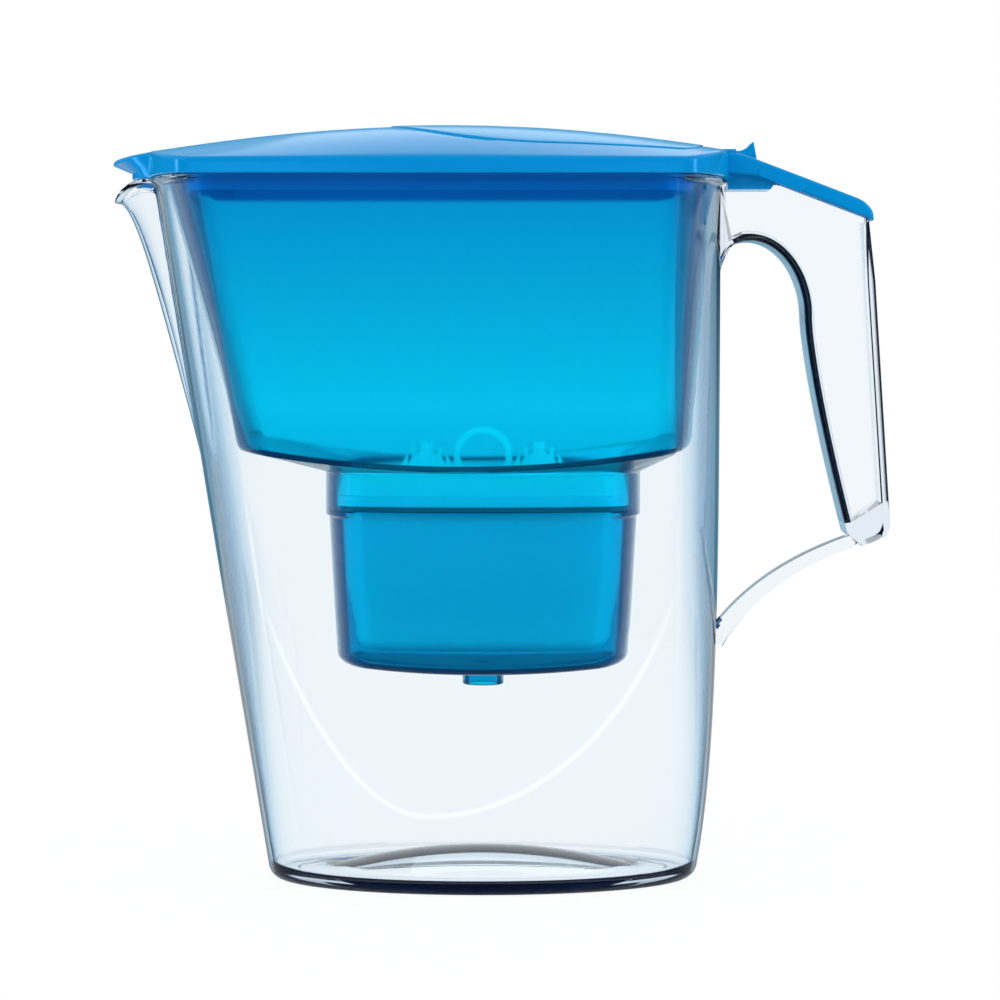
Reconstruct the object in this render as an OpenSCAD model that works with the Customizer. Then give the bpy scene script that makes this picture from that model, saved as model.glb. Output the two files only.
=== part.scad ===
// Water filter pitcher with a flip lid.
// A clear jug with a hollow handle, a hopper that hangs in its mouth, a cartridge that
// seats in the hopper's well, and a lid whose fill hatch is tipped by a thumb tab.
// Millimetres, +Z up. The spout points to -X and the handle to +X. The origin is on the
// surface that the jug stands on, under the middle of its overall length.

/* [Jug body] */
// Height of the jug's rim above the table
jug_h = 248.6; // [230:0.2:270]
// Length of the base
base_l = 151.9; // [140:0.1:165]
// Width of the base
base_w = 90; // [84:0.5:94]
// Middle of the base, measured along X from the middle of the overall length
base_x = -6.8; // [-12:0.1:0]
// How far the spout end leans out between base and rim
front_lean = 39.4; // [30:0.1:46]
// How far the handle end swells out above the base
rear_lean = 8.5; // [5:0.1:11]
// Height over which the handle end swells
rear_swell_h = 42; // [30:1:60]
// Width across the side panels, carried down to the table
panel_foot_w = 95.5; // [94:0.5:99]
// Width across the rim
rim_w = 105; // [100:0.5:114]
// Wall of the jug
wall = 2.4; // [1.8:0.1:3]
// Rounding of the base edge
base_r = 4.5; // [3:0.1:6]
// Thickness of the floor
floor_t = 3.2; // [2.4:0.1:4]
// Rise of the domed floor
dome_rise = 7; // [4:0.1:9]
// Length of the dome
dome_l = 107; // [90:1:120]
// Width of the flat foot ring
foot_w = 5; // [4:0.1:7]
// How far the rim bead stands out from the wall
bead_out = 1.9; // [1.2:0.1:2.2]
// Height of the rim bead
bead_h = 1.2; // [1:0.1:2]

/* [Side panels] */
// Part of the length that is flat before the ends turn in
flat_part = 0.82; // [0.78:0.01:0.86]
// Lowest point of the curved lower edge of a side panel
panel_low_z = 28.4; // [22:0.1:40]
// Height at which that edge runs into the ends
panel_high_z = 110; // [90:1:125]
// Place of the lowest point, from -1 at the spout end to 1 at the handle end
panel_low_u = -0.23; // [-0.35:0.01:0]

/* [Spout] */
// Height at which the spout leaves the body
spout_foot_z = 149; // [130:1:165]
// How far the lip stands out from the body
spout_reach = 13.6; // [11:0.1:15]
// Width of the spout at its lip
spout_w = 34; // [28:0.5:38]
// Width of the spout at its foot
spout_foot_w = 18; // [14:0.5:24]
// How far the lip lies below the rim
lip_drop = 7.4; // [5:0.1:9]

/* [Handle] */
// Width of the handle
handle_w = 27; // [25:0.5:28]
// Wall of the hollow handle
handle_wall = 2.3; // [1.9:0.1:2.6]
// Rounding of the handle's long edges
handle_r = 3; // [1.5:0.1:4]
// How far the handle's back stands behind the rim at its top
handle_top_out = 52.9; // [48:0.1:58]
// How far the handle's foot stands behind the rim
handle_foot_out = 60; // [56:0.1:64]
// Height of the handle's foot
handle_foot_z = 121; // [112:1:130]
// Width of the strut that ties the handle's foot to the body
strut_w = 11; // [8:0.5:14]
// Depth of the strut
strut_t = 4.4; // [3.5:0.1:6]

/* [Hopper] */
// Wall of the hopper and its well
hopper_wall = 1.9; // [1.5:0.1:2.3]
// Gap between the jug's wall and the hopper just below the rim
hopper_gap = 1; // [0.8:0.1:1.6]
// Thickness of the flange that rests on the rim
flange_t = 1.9; // [1.5:0.1:2.5]
// Depth of the hopper from the rim to the lowest edge of its wall
hopper_depth = 102; // [92:0.5:110]
// Rise of that edge towards the two ends
hopper_sag = 8; // [4:0.5:11]
// Length of the hopper at its lower edge
hopper_foot_l = 165; // [155:0.5:168]
// Width of the hopper at its lower edge
hopper_foot_w = 89; // [85:0.5:91]
// Middle of the hopper's lower edge
hopper_foot_x = -13.2; // [-16:0.1:-12]
// Middle of the well, measured from the middle of the base
well_shift = 0.2; // [-3:0.1:3]
// Length of the well's collar
collar_l = 112; // [108:0.5:116]
// Width of the well's collar
collar_w = 76; // [73:0.5:79]
// Height of the collar
collar_h = 15.5; // [13:0.5:18]
// Step in from the collar to the cup
cup_step = 1.2; // [0.8:0.1:2]
// Depth of the cup below the collar
cup_depth = 55; // [50:0.5:60]
// How much the cup narrows on each side on its way down
cup_taper = 3; // [2:0.1:4]
// Outer diameter of the outlet nozzle
nozzle_d = 14.6; // [12:0.2:17]
// Length of the nozzle below the well
nozzle_l = 6; // [4:0.5:9]

/* [Lid] */
// How far the lid's skirt stands out from the jug's wall
lid_lip = 2.6; // [2.4:0.1:3.4]
// Thickness of the lid
lid_t = 1.6; // [1.3:0.1:1.9]
// Height of the lid's side edge above the rim
lid_edge_h = 5.6; // [5:0.1:7]
// Height of the crown above the rim
lid_crown_h = 19.3; // [16:0.1:22]
// Lengthwise radius of the crown
crown_r = 560; // [500:10:800]
// Middle of the crown
crown_x = -20; // [-26:0.5:-14]
// How far the lid's inner skirt reaches down into the hopper
plug_depth = 4.8; // [4:0.1:7]
// How far the beak over the spout stands out from the lid's end
beak_reach = 13; // [10:0.1:13.5]
// Width of the beak
beak_w = 38; // [34:0.5:42]
// Width of the handle cover
cover_w = 28.4; // [26.4:0.1:31]

/* [Fill hatch] */
// Length of the hatch
hatch_l = 111; // [100:0.5:113]
// Width of the hatch
hatch_w = 84; // [70:0.5:88]
// Thickness of the hatch
hatch_t = 1.8; // [1.5:0.1:2.4]
// Gap round the hatch
hatch_gap = 0.5; // [0.4:0.1:0.9]
// Width of the ledge that the hatch closes on
hatch_ledge = 2.5; // [1.5:0.1:3.5]
// Distance of the hinge axis behind the rim
hinge_back = 1.3; // [0.8:0.1:2]
// Height of the hinge axis above the rim
hinge_up = 8.4; // [8:0.1:9]
// Diameter of the hinge barrel
barrel_d = 4.8; // [4.2:0.1:5]
// Diameter of the two hinge pins
pin_d = 3.4; // [2.6:0.1:3.6]
// Radial clearance of the pins in their bores
pin_gap = 0.06; // [0.04:0.01:0.1]
// Length of each hinge pin
pin_l = 4; // [3:0.1:5]
// Width of the lever and its thumb tab
lever_w = 15.4; // [12:0.2:16]
// Gap between the lever and the sides of its pocket
lever_gap = 0.4; // [0.3:0.1:0.6]
// Length of the lever behind the hinge axis
lever_l = 11.2; // [9:0.1:11.6]
// Height of the thumb tab's tip above the hinge axis
tab_h = 5.2; // [4:0.1:7]
// Depth of the lever's pocket below the hinge axis
pocket_depth = 10.2; // [9.8:0.1:12]
// Length of the pocket, from the hinge axis to its end
pocket_l = 19; // [16:0.5:22]

/* [Cartridge] */
// Gap between the cartridge's flange and the collar
cartridge_gap = 0.6; // [0.4:0.1:0.9]
// Width of the cartridge's flange
seat_w = 2.4; // [2:0.1:3]
// Thickness of the cartridge's flange
seat_t = 2; // [1.6:0.1:2.6]
// Thickness of the sealing ring
seal_t = 1.6; // [1.2:0.1:2]
// Wall of the cartridge
cartridge_wall = 1.6; // [1.2:0.1:2]
// Gap between the cartridge and the floor of the well
cartridge_clear = 5.8; // [4.5:0.1:9]
// How much the cartridge narrows on each side on its way down
cartridge_taper = 4; // [3.2:0.1:5]
// Height of the cap above the flange
cap_h = 11; // [9:0.5:13]
// Outer diameter of the grip ring on the cap
grip_d = 21; // [18:0.5:23]
// Diameter of the hole in the grip ring
grip_hole_d = 16.4; // [13:0.2:17]
// Thickness of the grip ring
grip_t = 4; // [3:0.5:6]
// Thickness of each screen and felt
screen_t = 1.5; // [1:0.1:2]
// Part of the media height that is activated carbon
carbon_part = 0.5; // [0.3:0.05:0.7]

/* [Hidden] */

clear_plastic = "aliceblue";
hopper_blue = "deepskyblue";
lid_blue = "dodgerblue";

eps = 0.02;            // thickness of the slices that a handle is drawn through
rear_steps = 6;        // facets round a quarter of the handle end
side_steps = 10;       // facets along a side panel
front_steps = 8;       // facets round a quarter of the spout end
edge_steps = 3;        // facets round a small moulded edge
seat_gap = 0.3;        // gap under a part that rests on another
foot_recess = 1;       // height of the recess inside the foot ring

rim_front = base_x - base_l / 2 - front_lean;
rim_rear = base_x + base_l / 2 + rear_lean;
axis_x = rim_rear + hinge_back;
axis_z = jug_h + hinge_up;

function lerp(a, b, t) = a + (b - a) * t;
function clamp(t) = min(1, max(0, t));
function bow(s) = sqrt(max(0, 1 - s * s));

// ---- Plan outlines ----
// A column is one place round a plan outline. It holds the point of a rounded oblong with flat
// sides and the matching point of a unit circle. The columns run from the handle end to the spout
// end and back, closer together where the spout is.
flat_turn = acos(flat_part) / 90;
function end_column(a, side) = [
    [side * (flat_part + (1 - flat_part) * cos(a)), sin(a)],
    [side * cos(a * flat_turn), sin(a * flat_turn)]];
half_columns = concat(
    [for (i = [0:rear_steps]) end_column(90 * i / rear_steps, 1)],
    [for (i = [1:side_steps - 1]) let (u = flat_part * (1 - 2 * i / side_steps)) [[u, 1], [u, bow(u)]]],
    [for (i = [front_steps:-1:0]) end_column(90 * pow(i / front_steps, 1.6), -1)]);
function mirrored(c) = [[c[0].x, -c[0].y], [c[1].x, -c[1].y]];
columns = concat(half_columns,
    [for (i = [len(half_columns) - 2:-1:1]) mirrored(half_columns[i])]);

// Every other column, for the small parts inside
few_columns = [for (i = [0:2:len(columns) - 1]) columns[i]];

// A level outline from front to rear, w wide. Squareness runs from 0, an ellipse, to 1, flat sides.
function outline(z, front, rear, w, squareness = 1, cols = columns) = [for (c = cols)
    let (p = lerp(c[1], c[0], squareness))
    [(front + rear) / 2 + (rear - front) / 2 * p.x, w / 2 * p.y, z]];
function oval(z, x, l, w, squareness = 0, cols = columns) =
    outline(z, x - l / 2, x + l / 2, w, squareness, cols);
// The jug's rim outline, moved in by o
function rim_outline(z, o) = outline(z, rim_front + o, rim_rear - o, rim_w - 2 * o);

// ---- Skins ----
function strip(a, b, n) = [for (i = [0:n - 1]) let (j = (i + 1) % n)
    each [[a + i, b + i, b + j], [a + i, b + j, a + j]]];
// A closed solid through rings of points, from one tip to the other
module loft(rings, first_tip, last_tip) {
    n = len(rings[0]);
    last = (len(rings) - 1) * n;
    tip = len(rings) * n;
    polyhedron(
        points = concat([for (r = rings) each r], [first_tip, last_tip]),
        faces = concat(
            [for (i = [0:n - 1]) [tip, i, (i + 1) % n]],
            [for (k = [0:len(rings) - 2]) each strip(k * n, (k + 1) * n, n)],
            [for (i = [0:n - 1]) [last + i, tip + 1, last + (i + 1) % n]]));
}
// A closed solid whose last ring meets its first, as a ring or a tube
module loft_loop(rings) {
    n = len(rings[0]);
    m = len(rings);
    polyhedron(
        points = [for (r = rings) each r],
        faces = [for (k = [0:m - 1]) each strip(k * n, (k + 1) % m * n, n)]);
}

// ---- Jug ----
function front_x(z) = base_x - base_l / 2 - front_lean * z / jug_h;
function rear_x(z) = base_x + base_l / 2 + rear_lean * (1 - exp(-z / rear_swell_h));
function panel_half(z) = lerp(panel_foot_w, rim_w, z / jug_h) / 2;
// Height of a side panel's lower edge: two quarter ellipses that meet at its lowest point
function panel_edge(u) = abs(u) > flat_part ? panel_high_z :
    panel_high_z - (panel_high_z - panel_low_z)
        * bow((u - panel_low_u) / (u > panel_low_u ? flat_part - panel_low_u : flat_part + panel_low_u));
// The spout grows from nothing at its foot and curls out at its lip
function spout_rise(z) = clamp((z - spout_foot_z) / (jug_h - spout_foot_z));
function spout_out(z) = let (t = spout_rise(z)) spout_reach * (0.8 * t + 0.2 * pow(t, 6));
function spout_half(z) = lerp(spout_foot_w, spout_w, spout_rise(z)) / 2;
// One point of the jug's wall, moved in by o. Below the panel's edge the wall is ruled from the
// oval base to the flat panel.
function wall_point(c, z, o) =
    let (t = clamp(z / panel_edge(c[0].x)),
         p = lerp(c[1], c[0], t),
         half_l = (rear_x(z) - front_x(z)) / 2 - o,
         half_w = lerp(base_w / 2, panel_half(z), t) - o,
         y = half_w * p.y,
         b = p.x < 0 ? bow(min(1, abs(y) / (spout_half(z) - o))) : 0)
    [(rear_x(z) + front_x(z)) / 2 + half_l * p.x - spout_out(z) * b, y,
     z - lip_drop * pow(spout_rise(z), 10) * pow(b, 3)];
function level_ring(z, o) = [for (c = columns) wall_point(c, z, o)];
// A ring that follows the panel's edge: v is 0 at height z0, 1 at the edge and 2 at the rim
function panel_ring(v, z0, o) = [for (c = columns) let (e = panel_edge(c[0].x))
    wall_point(c, v < 1 ? lerp(z0, e, v) : lerp(e, jug_h, v - 1), o)];
// Rounded edge between a floor at z0 and the wall
function floor_edge(z0, r, o) = [for (i = [0:edge_steps]) let (a = 90 * i / edge_steps)
    level_ring(z0 + r * (1 - cos(a)), o + r * (1 - sin(a)))];
function dome_ring(share, z0) = oval(z0 + dome_rise * (1 - share * share), base_x,
    dome_l * share, dome_l * base_w / base_l * share);

low_rows = [0.3, 0.65, 1];
high_rows = [1.15, 1.35, 1.55, 1.75, 1.9];
inner_r = base_r - 1;
function reversed(list) = [for (i = [len(list) - 1:-1:0]) list[i]];

foot_l = base_l - 2 * base_r - 2 * foot_w;     // inner edge of the foot ring
foot_in_w = base_w - 2 * base_r - 2 * foot_w;
floor_z = floor_t + foot_recess;
dome_shares = [0.35, 0.7, 1];
function jug_outside() = concat(
    [for (s = dome_shares) dome_ring(s, foot_recess)],
    [oval(foot_recess, base_x, foot_l - 2, foot_in_w - 2), oval(0, base_x, foot_l, foot_in_w)],
    floor_edge(0, base_r, 0),
    [for (v = concat(low_rows, high_rows)) panel_ring(v, base_r, 0)],
    [level_ring(jug_h - bead_h - bead_out / 3, 0), level_ring(jug_h - bead_h, -bead_out),
     level_ring(jug_h, -bead_out)]);
function jug_inside() = concat(
    [for (s = dome_shares) dome_ring(s, floor_z)],
    floor_edge(floor_z, inner_r, wall),
    [for (v = concat(low_rows, high_rows, [2])) panel_ring(v, floor_z + inner_r, wall)]);
jug_low_tip = [base_x, 0, foot_recess + dome_rise];
module jug() {
    color(clear_plastic, 0.4)
        loft(concat(jug_outside(), reversed(jug_inside())), jug_low_tip, [base_x, 0, floor_z + dome_rise]);
}
// The room that the jug takes up with its hollow filled
module jug_filled() loft(jug_outside(), jug_low_tip, [base_x, 0, jug_h]);

// ---- Handle ----
// Places in the handle are given as [distance behind the rim, height]
cover_knee = 13.8;     // where the cover starts to slope
cover_slope = 0.381;
cover_low_h = 1;       // height of the cover's lower edge above the rim, at its knee
arch_x = 10;           // middle of the arch over the fingers
arch_l = 19.4;         // its half length
arch_top = 21.3;       // its top below the rim
arch_foot = 49;        // its foot below the rim
root_in = 1.2;         // how far the handle is drawn into the wall, before the jug is cut away
root_l = 6;            // length of the fillet between the arch and the wall
root_drop = 8.2;       // its depth at the wall
function behind(dx, z) = [rim_rear + dx, z];
function cover_low(dx) = jug_h + cover_low_h - cover_slope * max(0, dx - cover_knee)
    + 0.1 * max(0, cover_knee - dx);
function arch(a, o) = behind(arch_x + (arch_l + o) * cos(a),
    jug_h - arch_foot + (arch_foot - arch_top + o) * sin(a));
// Underside of the handle's root, which drops to the wall in a fillet
function root_low(dx) = behind(dx, jug_h - arch_foot + (arch_foot - arch_top) * bow((dx - arch_x) / arch_l)
    - root_drop * pow(max(0, (root_l - dx) / (root_l + root_in)), 2.56));
// Finger side and back of the grip, from its top at t = 0 to its foot at t = 1
function grip_front(t) = behind(
    lerp(arch_x + arch_l, handle_foot_out - 15.3, pow(t, 1.3)),
    lerp(jug_h - arch_foot, handle_foot_z + 3, t));
function grip_back(t) = behind(lerp(handle_top_out, handle_foot_out, t),
    lerp(jug_h - 14, handle_foot_z + 6.5, t));
function handle_top(dx) = behind(dx, cover_low(dx) - seat_gap);
grip_rows = [0.25, 0.5, 0.75, 1];
arch_turns = [84, 60, 36, 14];                 // turns round the arch, and the places over them
arch_over = [cover_knee, 26, 39, handle_top_out - 1];
lip_out = 3;                                   // the handle stays below the lid's skirt up to here
handle_stations = concat(
    [[root_low(-root_in), behind(-root_in, jug_h - 1)]],
    [for (dx = [0.6, lip_out]) [root_low(dx), behind(dx, jug_h - seat_gap)]],
    [[root_low(root_l), handle_top(root_l)]],
    [for (i = [0:3]) [arch(arch_turns[i], 0), handle_top(arch_over[i])]],
    [[arch(0, 0), grip_back(0.2)]],
    [for (t = grip_rows) [grip_front(t), grip_back(t)]],
    [[behind(handle_foot_out - 10, handle_foot_z - 1.5), behind(handle_foot_out - 1.8, handle_foot_z + 2)]]);
// The hollow is open at the top, under the cover. Its front leans back from the rim to the arch.
above = 12;
hollow_foot = 3.6;
hollow_lean = 6.5;
hollow_stations = concat(
    [[root_low(hollow_foot) + [0, handle_wall], behind(hollow_foot - hollow_lean, jug_h + above)],
     [arch(98, handle_wall), behind(root_l, jug_h + above)],
     [arch(arch_turns[0], handle_wall), behind(arch_over[0], jug_h + above)],
     [arch(arch_turns[1], handle_wall), behind(arch_over[1], jug_h + above)],
     [arch(arch_turns[2], handle_wall), behind(arch_over[2], jug_h)],
     [arch(arch_turns[3], handle_wall), behind(handle_top_out - handle_wall, jug_h - 8)],
     [arch(0, handle_wall), grip_back(0.2) - [handle_wall, 0]]],
    [for (t = [0.25, 0.5, 0.75, 0.95]) [grip_front(t) + [handle_wall, 0], grip_back(t) - [handle_wall, 0]]]);

module rounded_slice(a, b, w, r) {
    d = b - a;
    translate([a.x, 0, a.y]) rotate([0, -atan2(d.y, d.x), 0])
        linear_extrude(eps, center = true) translate([norm(d) / 2, 0])
            offset(r, $fn = 16) square([norm(d) - 2 * r, w - 2 * r], center = true);
}
module slice_chain(stations, w, r) {
    for (i = [0:len(stations) - 2]) hull() {
        rounded_slice(stations[i][0], stations[i][1], w, r);
        rounded_slice(stations[i + 1][0], stations[i + 1][1], w, r);
    }
}
// The strut curves down from the handle's foot to the body
strut_steps = 7;
function strut_at(t) = let (
    a = behind(handle_foot_out - 11, handle_foot_z + 0.5),
    b = behind(handle_foot_out - 46, handle_foot_z - 11),
    c = behind(-1.6, handle_foot_z - 36))
    a * (1 - t) * (1 - t) + b * 2 * t * (1 - t) + c * t * t;
function strut_station(t) = let (
    d = strut_at(t + 0.01) - strut_at(t - 0.01),
    side = [-d.y, d.x] / norm(d) * strut_t / 2 * (1 + 0.5 * t * t))
    [strut_at(t) - side, strut_at(t) + side];
strut_stations = [for (i = [0:strut_steps]) strut_station(i / strut_steps)];

module handle() {
    color(clear_plastic, 0.4) difference() {
        union() {
            slice_chain(handle_stations, handle_w, handle_r);
            slice_chain(strut_stations, strut_w, 1.5);
        }
        slice_chain(hollow_stations, handle_w - 2 * handle_wall, handle_r - 1.2);
        jug_filled();
    }
}

// ---- Hopper ----
hopper_in = wall + hopper_gap;                 // hopper's wall, in from the jug's rim
hopper_low_z = jug_h - hopper_depth;
well_x = base_x + well_shift;
collar_z = hopper_low_z - 0.6;
ledge_z = collar_z - collar_h;
well_z = ledge_z - cup_depth;
cup_wall = hopper_wall + 0.5;
cup_round = 3.5;                               // rounding of the cup's lower edge
nozzle_wall = 2;
well_square = 0.55;                            // squareness of the well's outline
// Ring of the hopper's wall, from 0 at the rim to 1 at the sagging lower edge
function hopper_ring(t, o, lift = 0) = let (
    front = lerp(rim_front + hopper_in, hopper_foot_x - hopper_foot_l / 2, t) + o,
    rear = lerp(rim_rear - hopper_in, hopper_foot_x + hopper_foot_l / 2, t) - o,
    w = lerp(rim_w - 2 * hopper_in, hopper_foot_w, t) - 2 * o)
    [for (c = columns) [(front + rear) / 2 + (rear - front) / 2 * c[0].x, w / 2 * c[0].y,
        lerp(jug_h, hopper_low_z + lift + hopper_sag * c[0].x * c[0].x, t)]];
function collar(z, o, cols = columns) =
    oval(z, well_x, collar_l - 2 * o, collar_w - 2 * o, well_square, cols);
function cup(z, o) = collar(z, cup_step + cup_taper * (ledge_z - z) / cup_depth + o);
function nozzle(z, d) = oval(z, well_x, d, d);
// The hopper's bowl ends, and its well begins, round the top of the collar
module hopper() {
    t = hopper_wall;
    color(hopper_blue, 0.7) loft_loop([
        collar(collar_z, 0), hopper_ring(1, 2.4), hopper_ring(0.985, 0.7), hopper_ring(0.95, 0),
        hopper_ring(0.6, 0), hopper_ring(0.3, 0), rim_outline(jug_h, hopper_in),
        rim_outline(jug_h, 0), rim_outline(jug_h + flange_t, 0),
        rim_outline(jug_h + flange_t, hopper_in + t), hopper_ring(0.3, t), hopper_ring(0.6, t),
        hopper_ring(0.95, t), hopper_ring(1, 2.4 + t, t), collar(collar_z + t, 0)]);
}
module cartridge_well() {
    t = hopper_wall;
    bore = nozzle_d - 2 * nozzle_wall;
    color(hopper_blue, 0.7) loft_loop([
        nozzle(well_z - nozzle_l, nozzle_d), nozzle(well_z, nozzle_d),
        cup(well_z, cup_round), cup(well_z + 1.2, cup_round - 2.5), cup(well_z + 4, 0), cup(ledge_z, 0),
        collar(ledge_z, 0), collar(collar_z, 0), collar(collar_z + t, 0), collar(collar_z + t, t),
        collar(ledge_z + t, t), cup(ledge_z + t, cup_wall), cup(well_z + 5, cup_wall),
        cup(well_z + t, cup_wall + 2.5),
        nozzle(well_z + t, bore), nozzle(well_z - nozzle_l, bore)]);
}

// ---- Lid ----
// Height of the lid's top surface: crowned along its length and from side to side
lid_half_w = rim_w / 2 + lid_lip;
function crown(x, y) = let (
    ridge = jug_h + lid_crown_h - pow(x - crown_x, 2) / (2 * crown_r))
    lerp(ridge, jug_h + lid_edge_h, pow(abs(y) / lid_half_w, 2.2));
// Lid outline moved in by o, with the beak standing out over the spout
function lid_plan(o, reach) = [for (c = columns) let (
    front = rim_front - lid_lip + o,
    rear = rim_rear + lid_lip - o,
    y = (lid_half_w - o) * c[0].y,
    b = c[0].x < 0 ? bow(min(1, abs(y) / (beak_w / 2 - o))) : 0)
    [(front + rear) / 2 + (rear - front) / 2 * c[0].x - reach * b, y]];
// Hatch outline moved in by o: a long round nose, flat sides and a blunt rear
hatch_rear = rim_rear - 6.2;
hatch_x = hatch_rear - hatch_l / 2;
function hatch_plan(o) = [for (c = columns) let (p = c[0].x < 0 ? c[1] : c[0])
    [hatch_x + (hatch_l / 2 - o) * p.x, (hatch_w / 2 - o) * p.y]];
function between(a, b, t) = [for (i = [0:len(a) - 1]) lerp(a[i], b[i], t)];
function at_height(plan, z) = [for (p = plan) [p.x, p.y, z]];
function on_crown(plan, drop) = [for (p = plan) [p.x, p.y, crown(p.x, p.y) - drop]];

hatch_proud = 0.4;                             // how far the hatch stands above the lid
ledge_drop = hatch_t - hatch_proud + 0.2;      // the ledge's top below the lid's top
ledge_t = 1.6;                                 // thickness of the ledge
plug_gap = 0.9;                                // gap between the inner skirt and the hopper
plug_in = hopper_in + hopper_wall + plug_gap;  // inner skirt, in from the jug's rim
plug_t = 1.5;                                  // thickness of the inner skirt
beak_foot = 0.48;                              // part of the beak's reach at its lower edge
skirt_z = jug_h + seat_gap;

// Lower edge of the inner skirt, which narrows with the hopper
function plug_foot(o) = at_height(
    hopper_ring(plug_depth / hopper_depth, hopper_wall + plug_gap + o), jug_h - plug_depth);

module lid_shell() {
    opening = hatch_plan(-hatch_gap);
    ledge = hatch_plan(hatch_ledge);
    plug_inner = lid_plan(lid_lip + plug_in + plug_t, 0);
    plug_outer = lid_plan(lid_lip + plug_in, 0);
    edge = lid_plan(0.7, beak_reach);
    under = ledge_drop + ledge_t;
    loft_loop([
        at_height(lid_plan(0, beak_reach * beak_foot), skirt_z),
        at_height(lid_plan(0, beak_reach * beak_foot), skirt_z + 2.2),
        on_crown(lid_plan(0, beak_reach), 1.2),
        on_crown(lid_plan(0, beak_reach), 0.5),
        on_crown(edge, 0),
        on_crown(between(edge, opening, 0.45), 0),
        on_crown(opening, 0),
        on_crown(opening, ledge_drop),
        on_crown(ledge, ledge_drop),
        on_crown(ledge, under),
        on_crown(between(ledge, plug_inner, 0.12), under),
        on_crown(between(ledge, plug_inner, 0.18), lid_t),
        on_crown(between(ledge, plug_inner, 0.6), lid_t),
        on_crown(plug_inner, lid_t),
        plug_foot(plug_t),
        plug_foot(0),
        on_crown(plug_outer, lid_t),
        on_crown(lid_plan(lid_t, beak_reach - 1), lid_t + 1),
        at_height(lid_plan(lid_t, beak_reach * beak_foot), skirt_z + 2.2),
        at_height(lid_plan(lid_t, beak_reach * beak_foot), skirt_z)]);
}
// Side outline of the handle cover: top edge lowered by d, lower edge raised by it
cover_end = handle_top_out + 0.4;
cover_top = [[1.2, 9.6], [6.3, 9.2], [12.5, 7.1], [cover_end - 5.7, -6.3], [cover_end - 1.6, -9.2],
    [cover_end - 0.1, -12], [cover_end, -14.2]];
function cover_side_line(d) = [for (p = cover_top) behind(p.x, jug_h + p.y) - [d * p.x / 60, d]];
module across(w) rotate([90, 0, 0]) linear_extrude(w, center = true) children();
module cover_solid() across(cover_w) polygon(concat(
    cover_side_line(0),
    [behind(cover_knee, jug_h + cover_low_h), behind(1.2, cover_low(1.2))]));
module cover_hollow() across(cover_w - 2 * lid_t) polygon([
    behind(0.7, jug_h + 9.6 - 1.8 * lid_t), behind(6, jug_h + 9.2 - 1.8 * lid_t),
    behind(12.5, jug_h + 7.1 - 1.2 * lid_t), behind(cover_end - 5.7, jug_h - 6.3 - 1.2 * lid_t),
    behind(cover_end - 1.3, jug_h - 12), behind(cover_end - 1.3, jug_h - 25), behind(0.7, jug_h - 3)]);
lever_room = lever_w + 2 * lever_gap;
pocket_wall = 1.4;
pocket_front = axis_x + 2.2;
pocket_end = axis_x + pocket_l;
pocket_z = axis_z - pocket_depth;
slot_end = axis_x + lever_l + 0.7;
// The pocket is stepped: its upper part reaches under the barrel, over the hopper's flange
knee_x = axis_x - 0.3;
knee_z = axis_z - 4.6;
barrel_floor = axis_z - barrel_d / 2 - 0.4;
module pocket_box() across(lever_room + 2 * pocket_wall) polygon([
    [pocket_front - pocket_wall, pocket_z - pocket_wall], [pocket_end - 3, pocket_z - pocket_wall],
    [pocket_end, pocket_z + 2], [pocket_end, jug_h + 2.9],
    [pocket_front + 4, axis_z - 1], [knee_x - pocket_wall, axis_z - 1],
    [knee_x - pocket_wall, knee_z - pocket_wall], [pocket_front - pocket_wall, knee_z - pocket_wall]]);
module pocket_room() across(lever_room) polygon([
    [hatch_rear - 3.5, axis_z + 12], [hatch_rear - 3.5, barrel_floor], [knee_x, barrel_floor],
    [knee_x, knee_z], [pocket_front, knee_z - 1.8], [pocket_front, pocket_z],
    [pocket_end - pocket_wall - 3, pocket_z], [pocket_end - pocket_wall, pocket_z + 2],
    [pocket_end - pocket_wall, jug_h + 1.4], [slot_end, jug_h + 4.2], [slot_end, axis_z + 12]]);
ear_t = pin_l + 1;
module on_both_sides() {
    children();
    mirror([0, 1, 0]) children();
}
module ear() translate([axis_x - 3.5, lever_room / 2 - 0.2, jug_h + flange_t + 0.7])
    cube([7, ear_t + 0.2, axis_z + barrel_d / 2 - jug_h - flange_t - 0.7]);
module axle(d, l) translate([axis_x, 0, axis_z]) rotate([90, 0, 0]) cylinder(h = l, d = d, center = true, $fn = 48);

// Raised bar on each side of the cover, along its lower edge
bar_ends = [14.2, 27.2];
bar_r = 1.7;
bar_proud = 0.35;
module side_bar() translate([0, cover_w / 2 + bar_proud - lid_t / 2, 0]) across(lid_t) hull()
    for (dx = bar_ends) translate(behind(dx, cover_low(dx) + bar_r)) circle(bar_r, $fn = 16);
// Tongue under the beak, which drops into the spout
lug_x = rim_front - 1.1;
lug_w = 10;
module lug() across(lug_w) polygon([
    [lug_x, crown(lug_x, 0) - lid_t / 2], [lug_x, jug_h - 1.3], [lug_x - 0.5, jug_h - 1.8],
    [lug_x - 2, jug_h - 1.6], [lug_x - 3, jug_h - 0.7], [lug_x - 5.7, jug_h - 0.4],
    [lug_x - 6.7, jug_h + 1.3], [lug_x - 6.7, crown(lug_x - 6.7, 0) - lid_t / 2]]);

module lid() {
    color(lid_blue) difference() {
        union() {
            difference() {
                union() {
                    lid_shell();
                    cover_solid();
                }
                cover_hollow();
            }
            on_both_sides() {
                ear();
                side_bar();
            }
            lug();
            pocket_box();
        }
        pocket_room();
        axle(pin_d + 2 * pin_gap, lever_room + 2 * pin_l + 0.8);
    }
}

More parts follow.
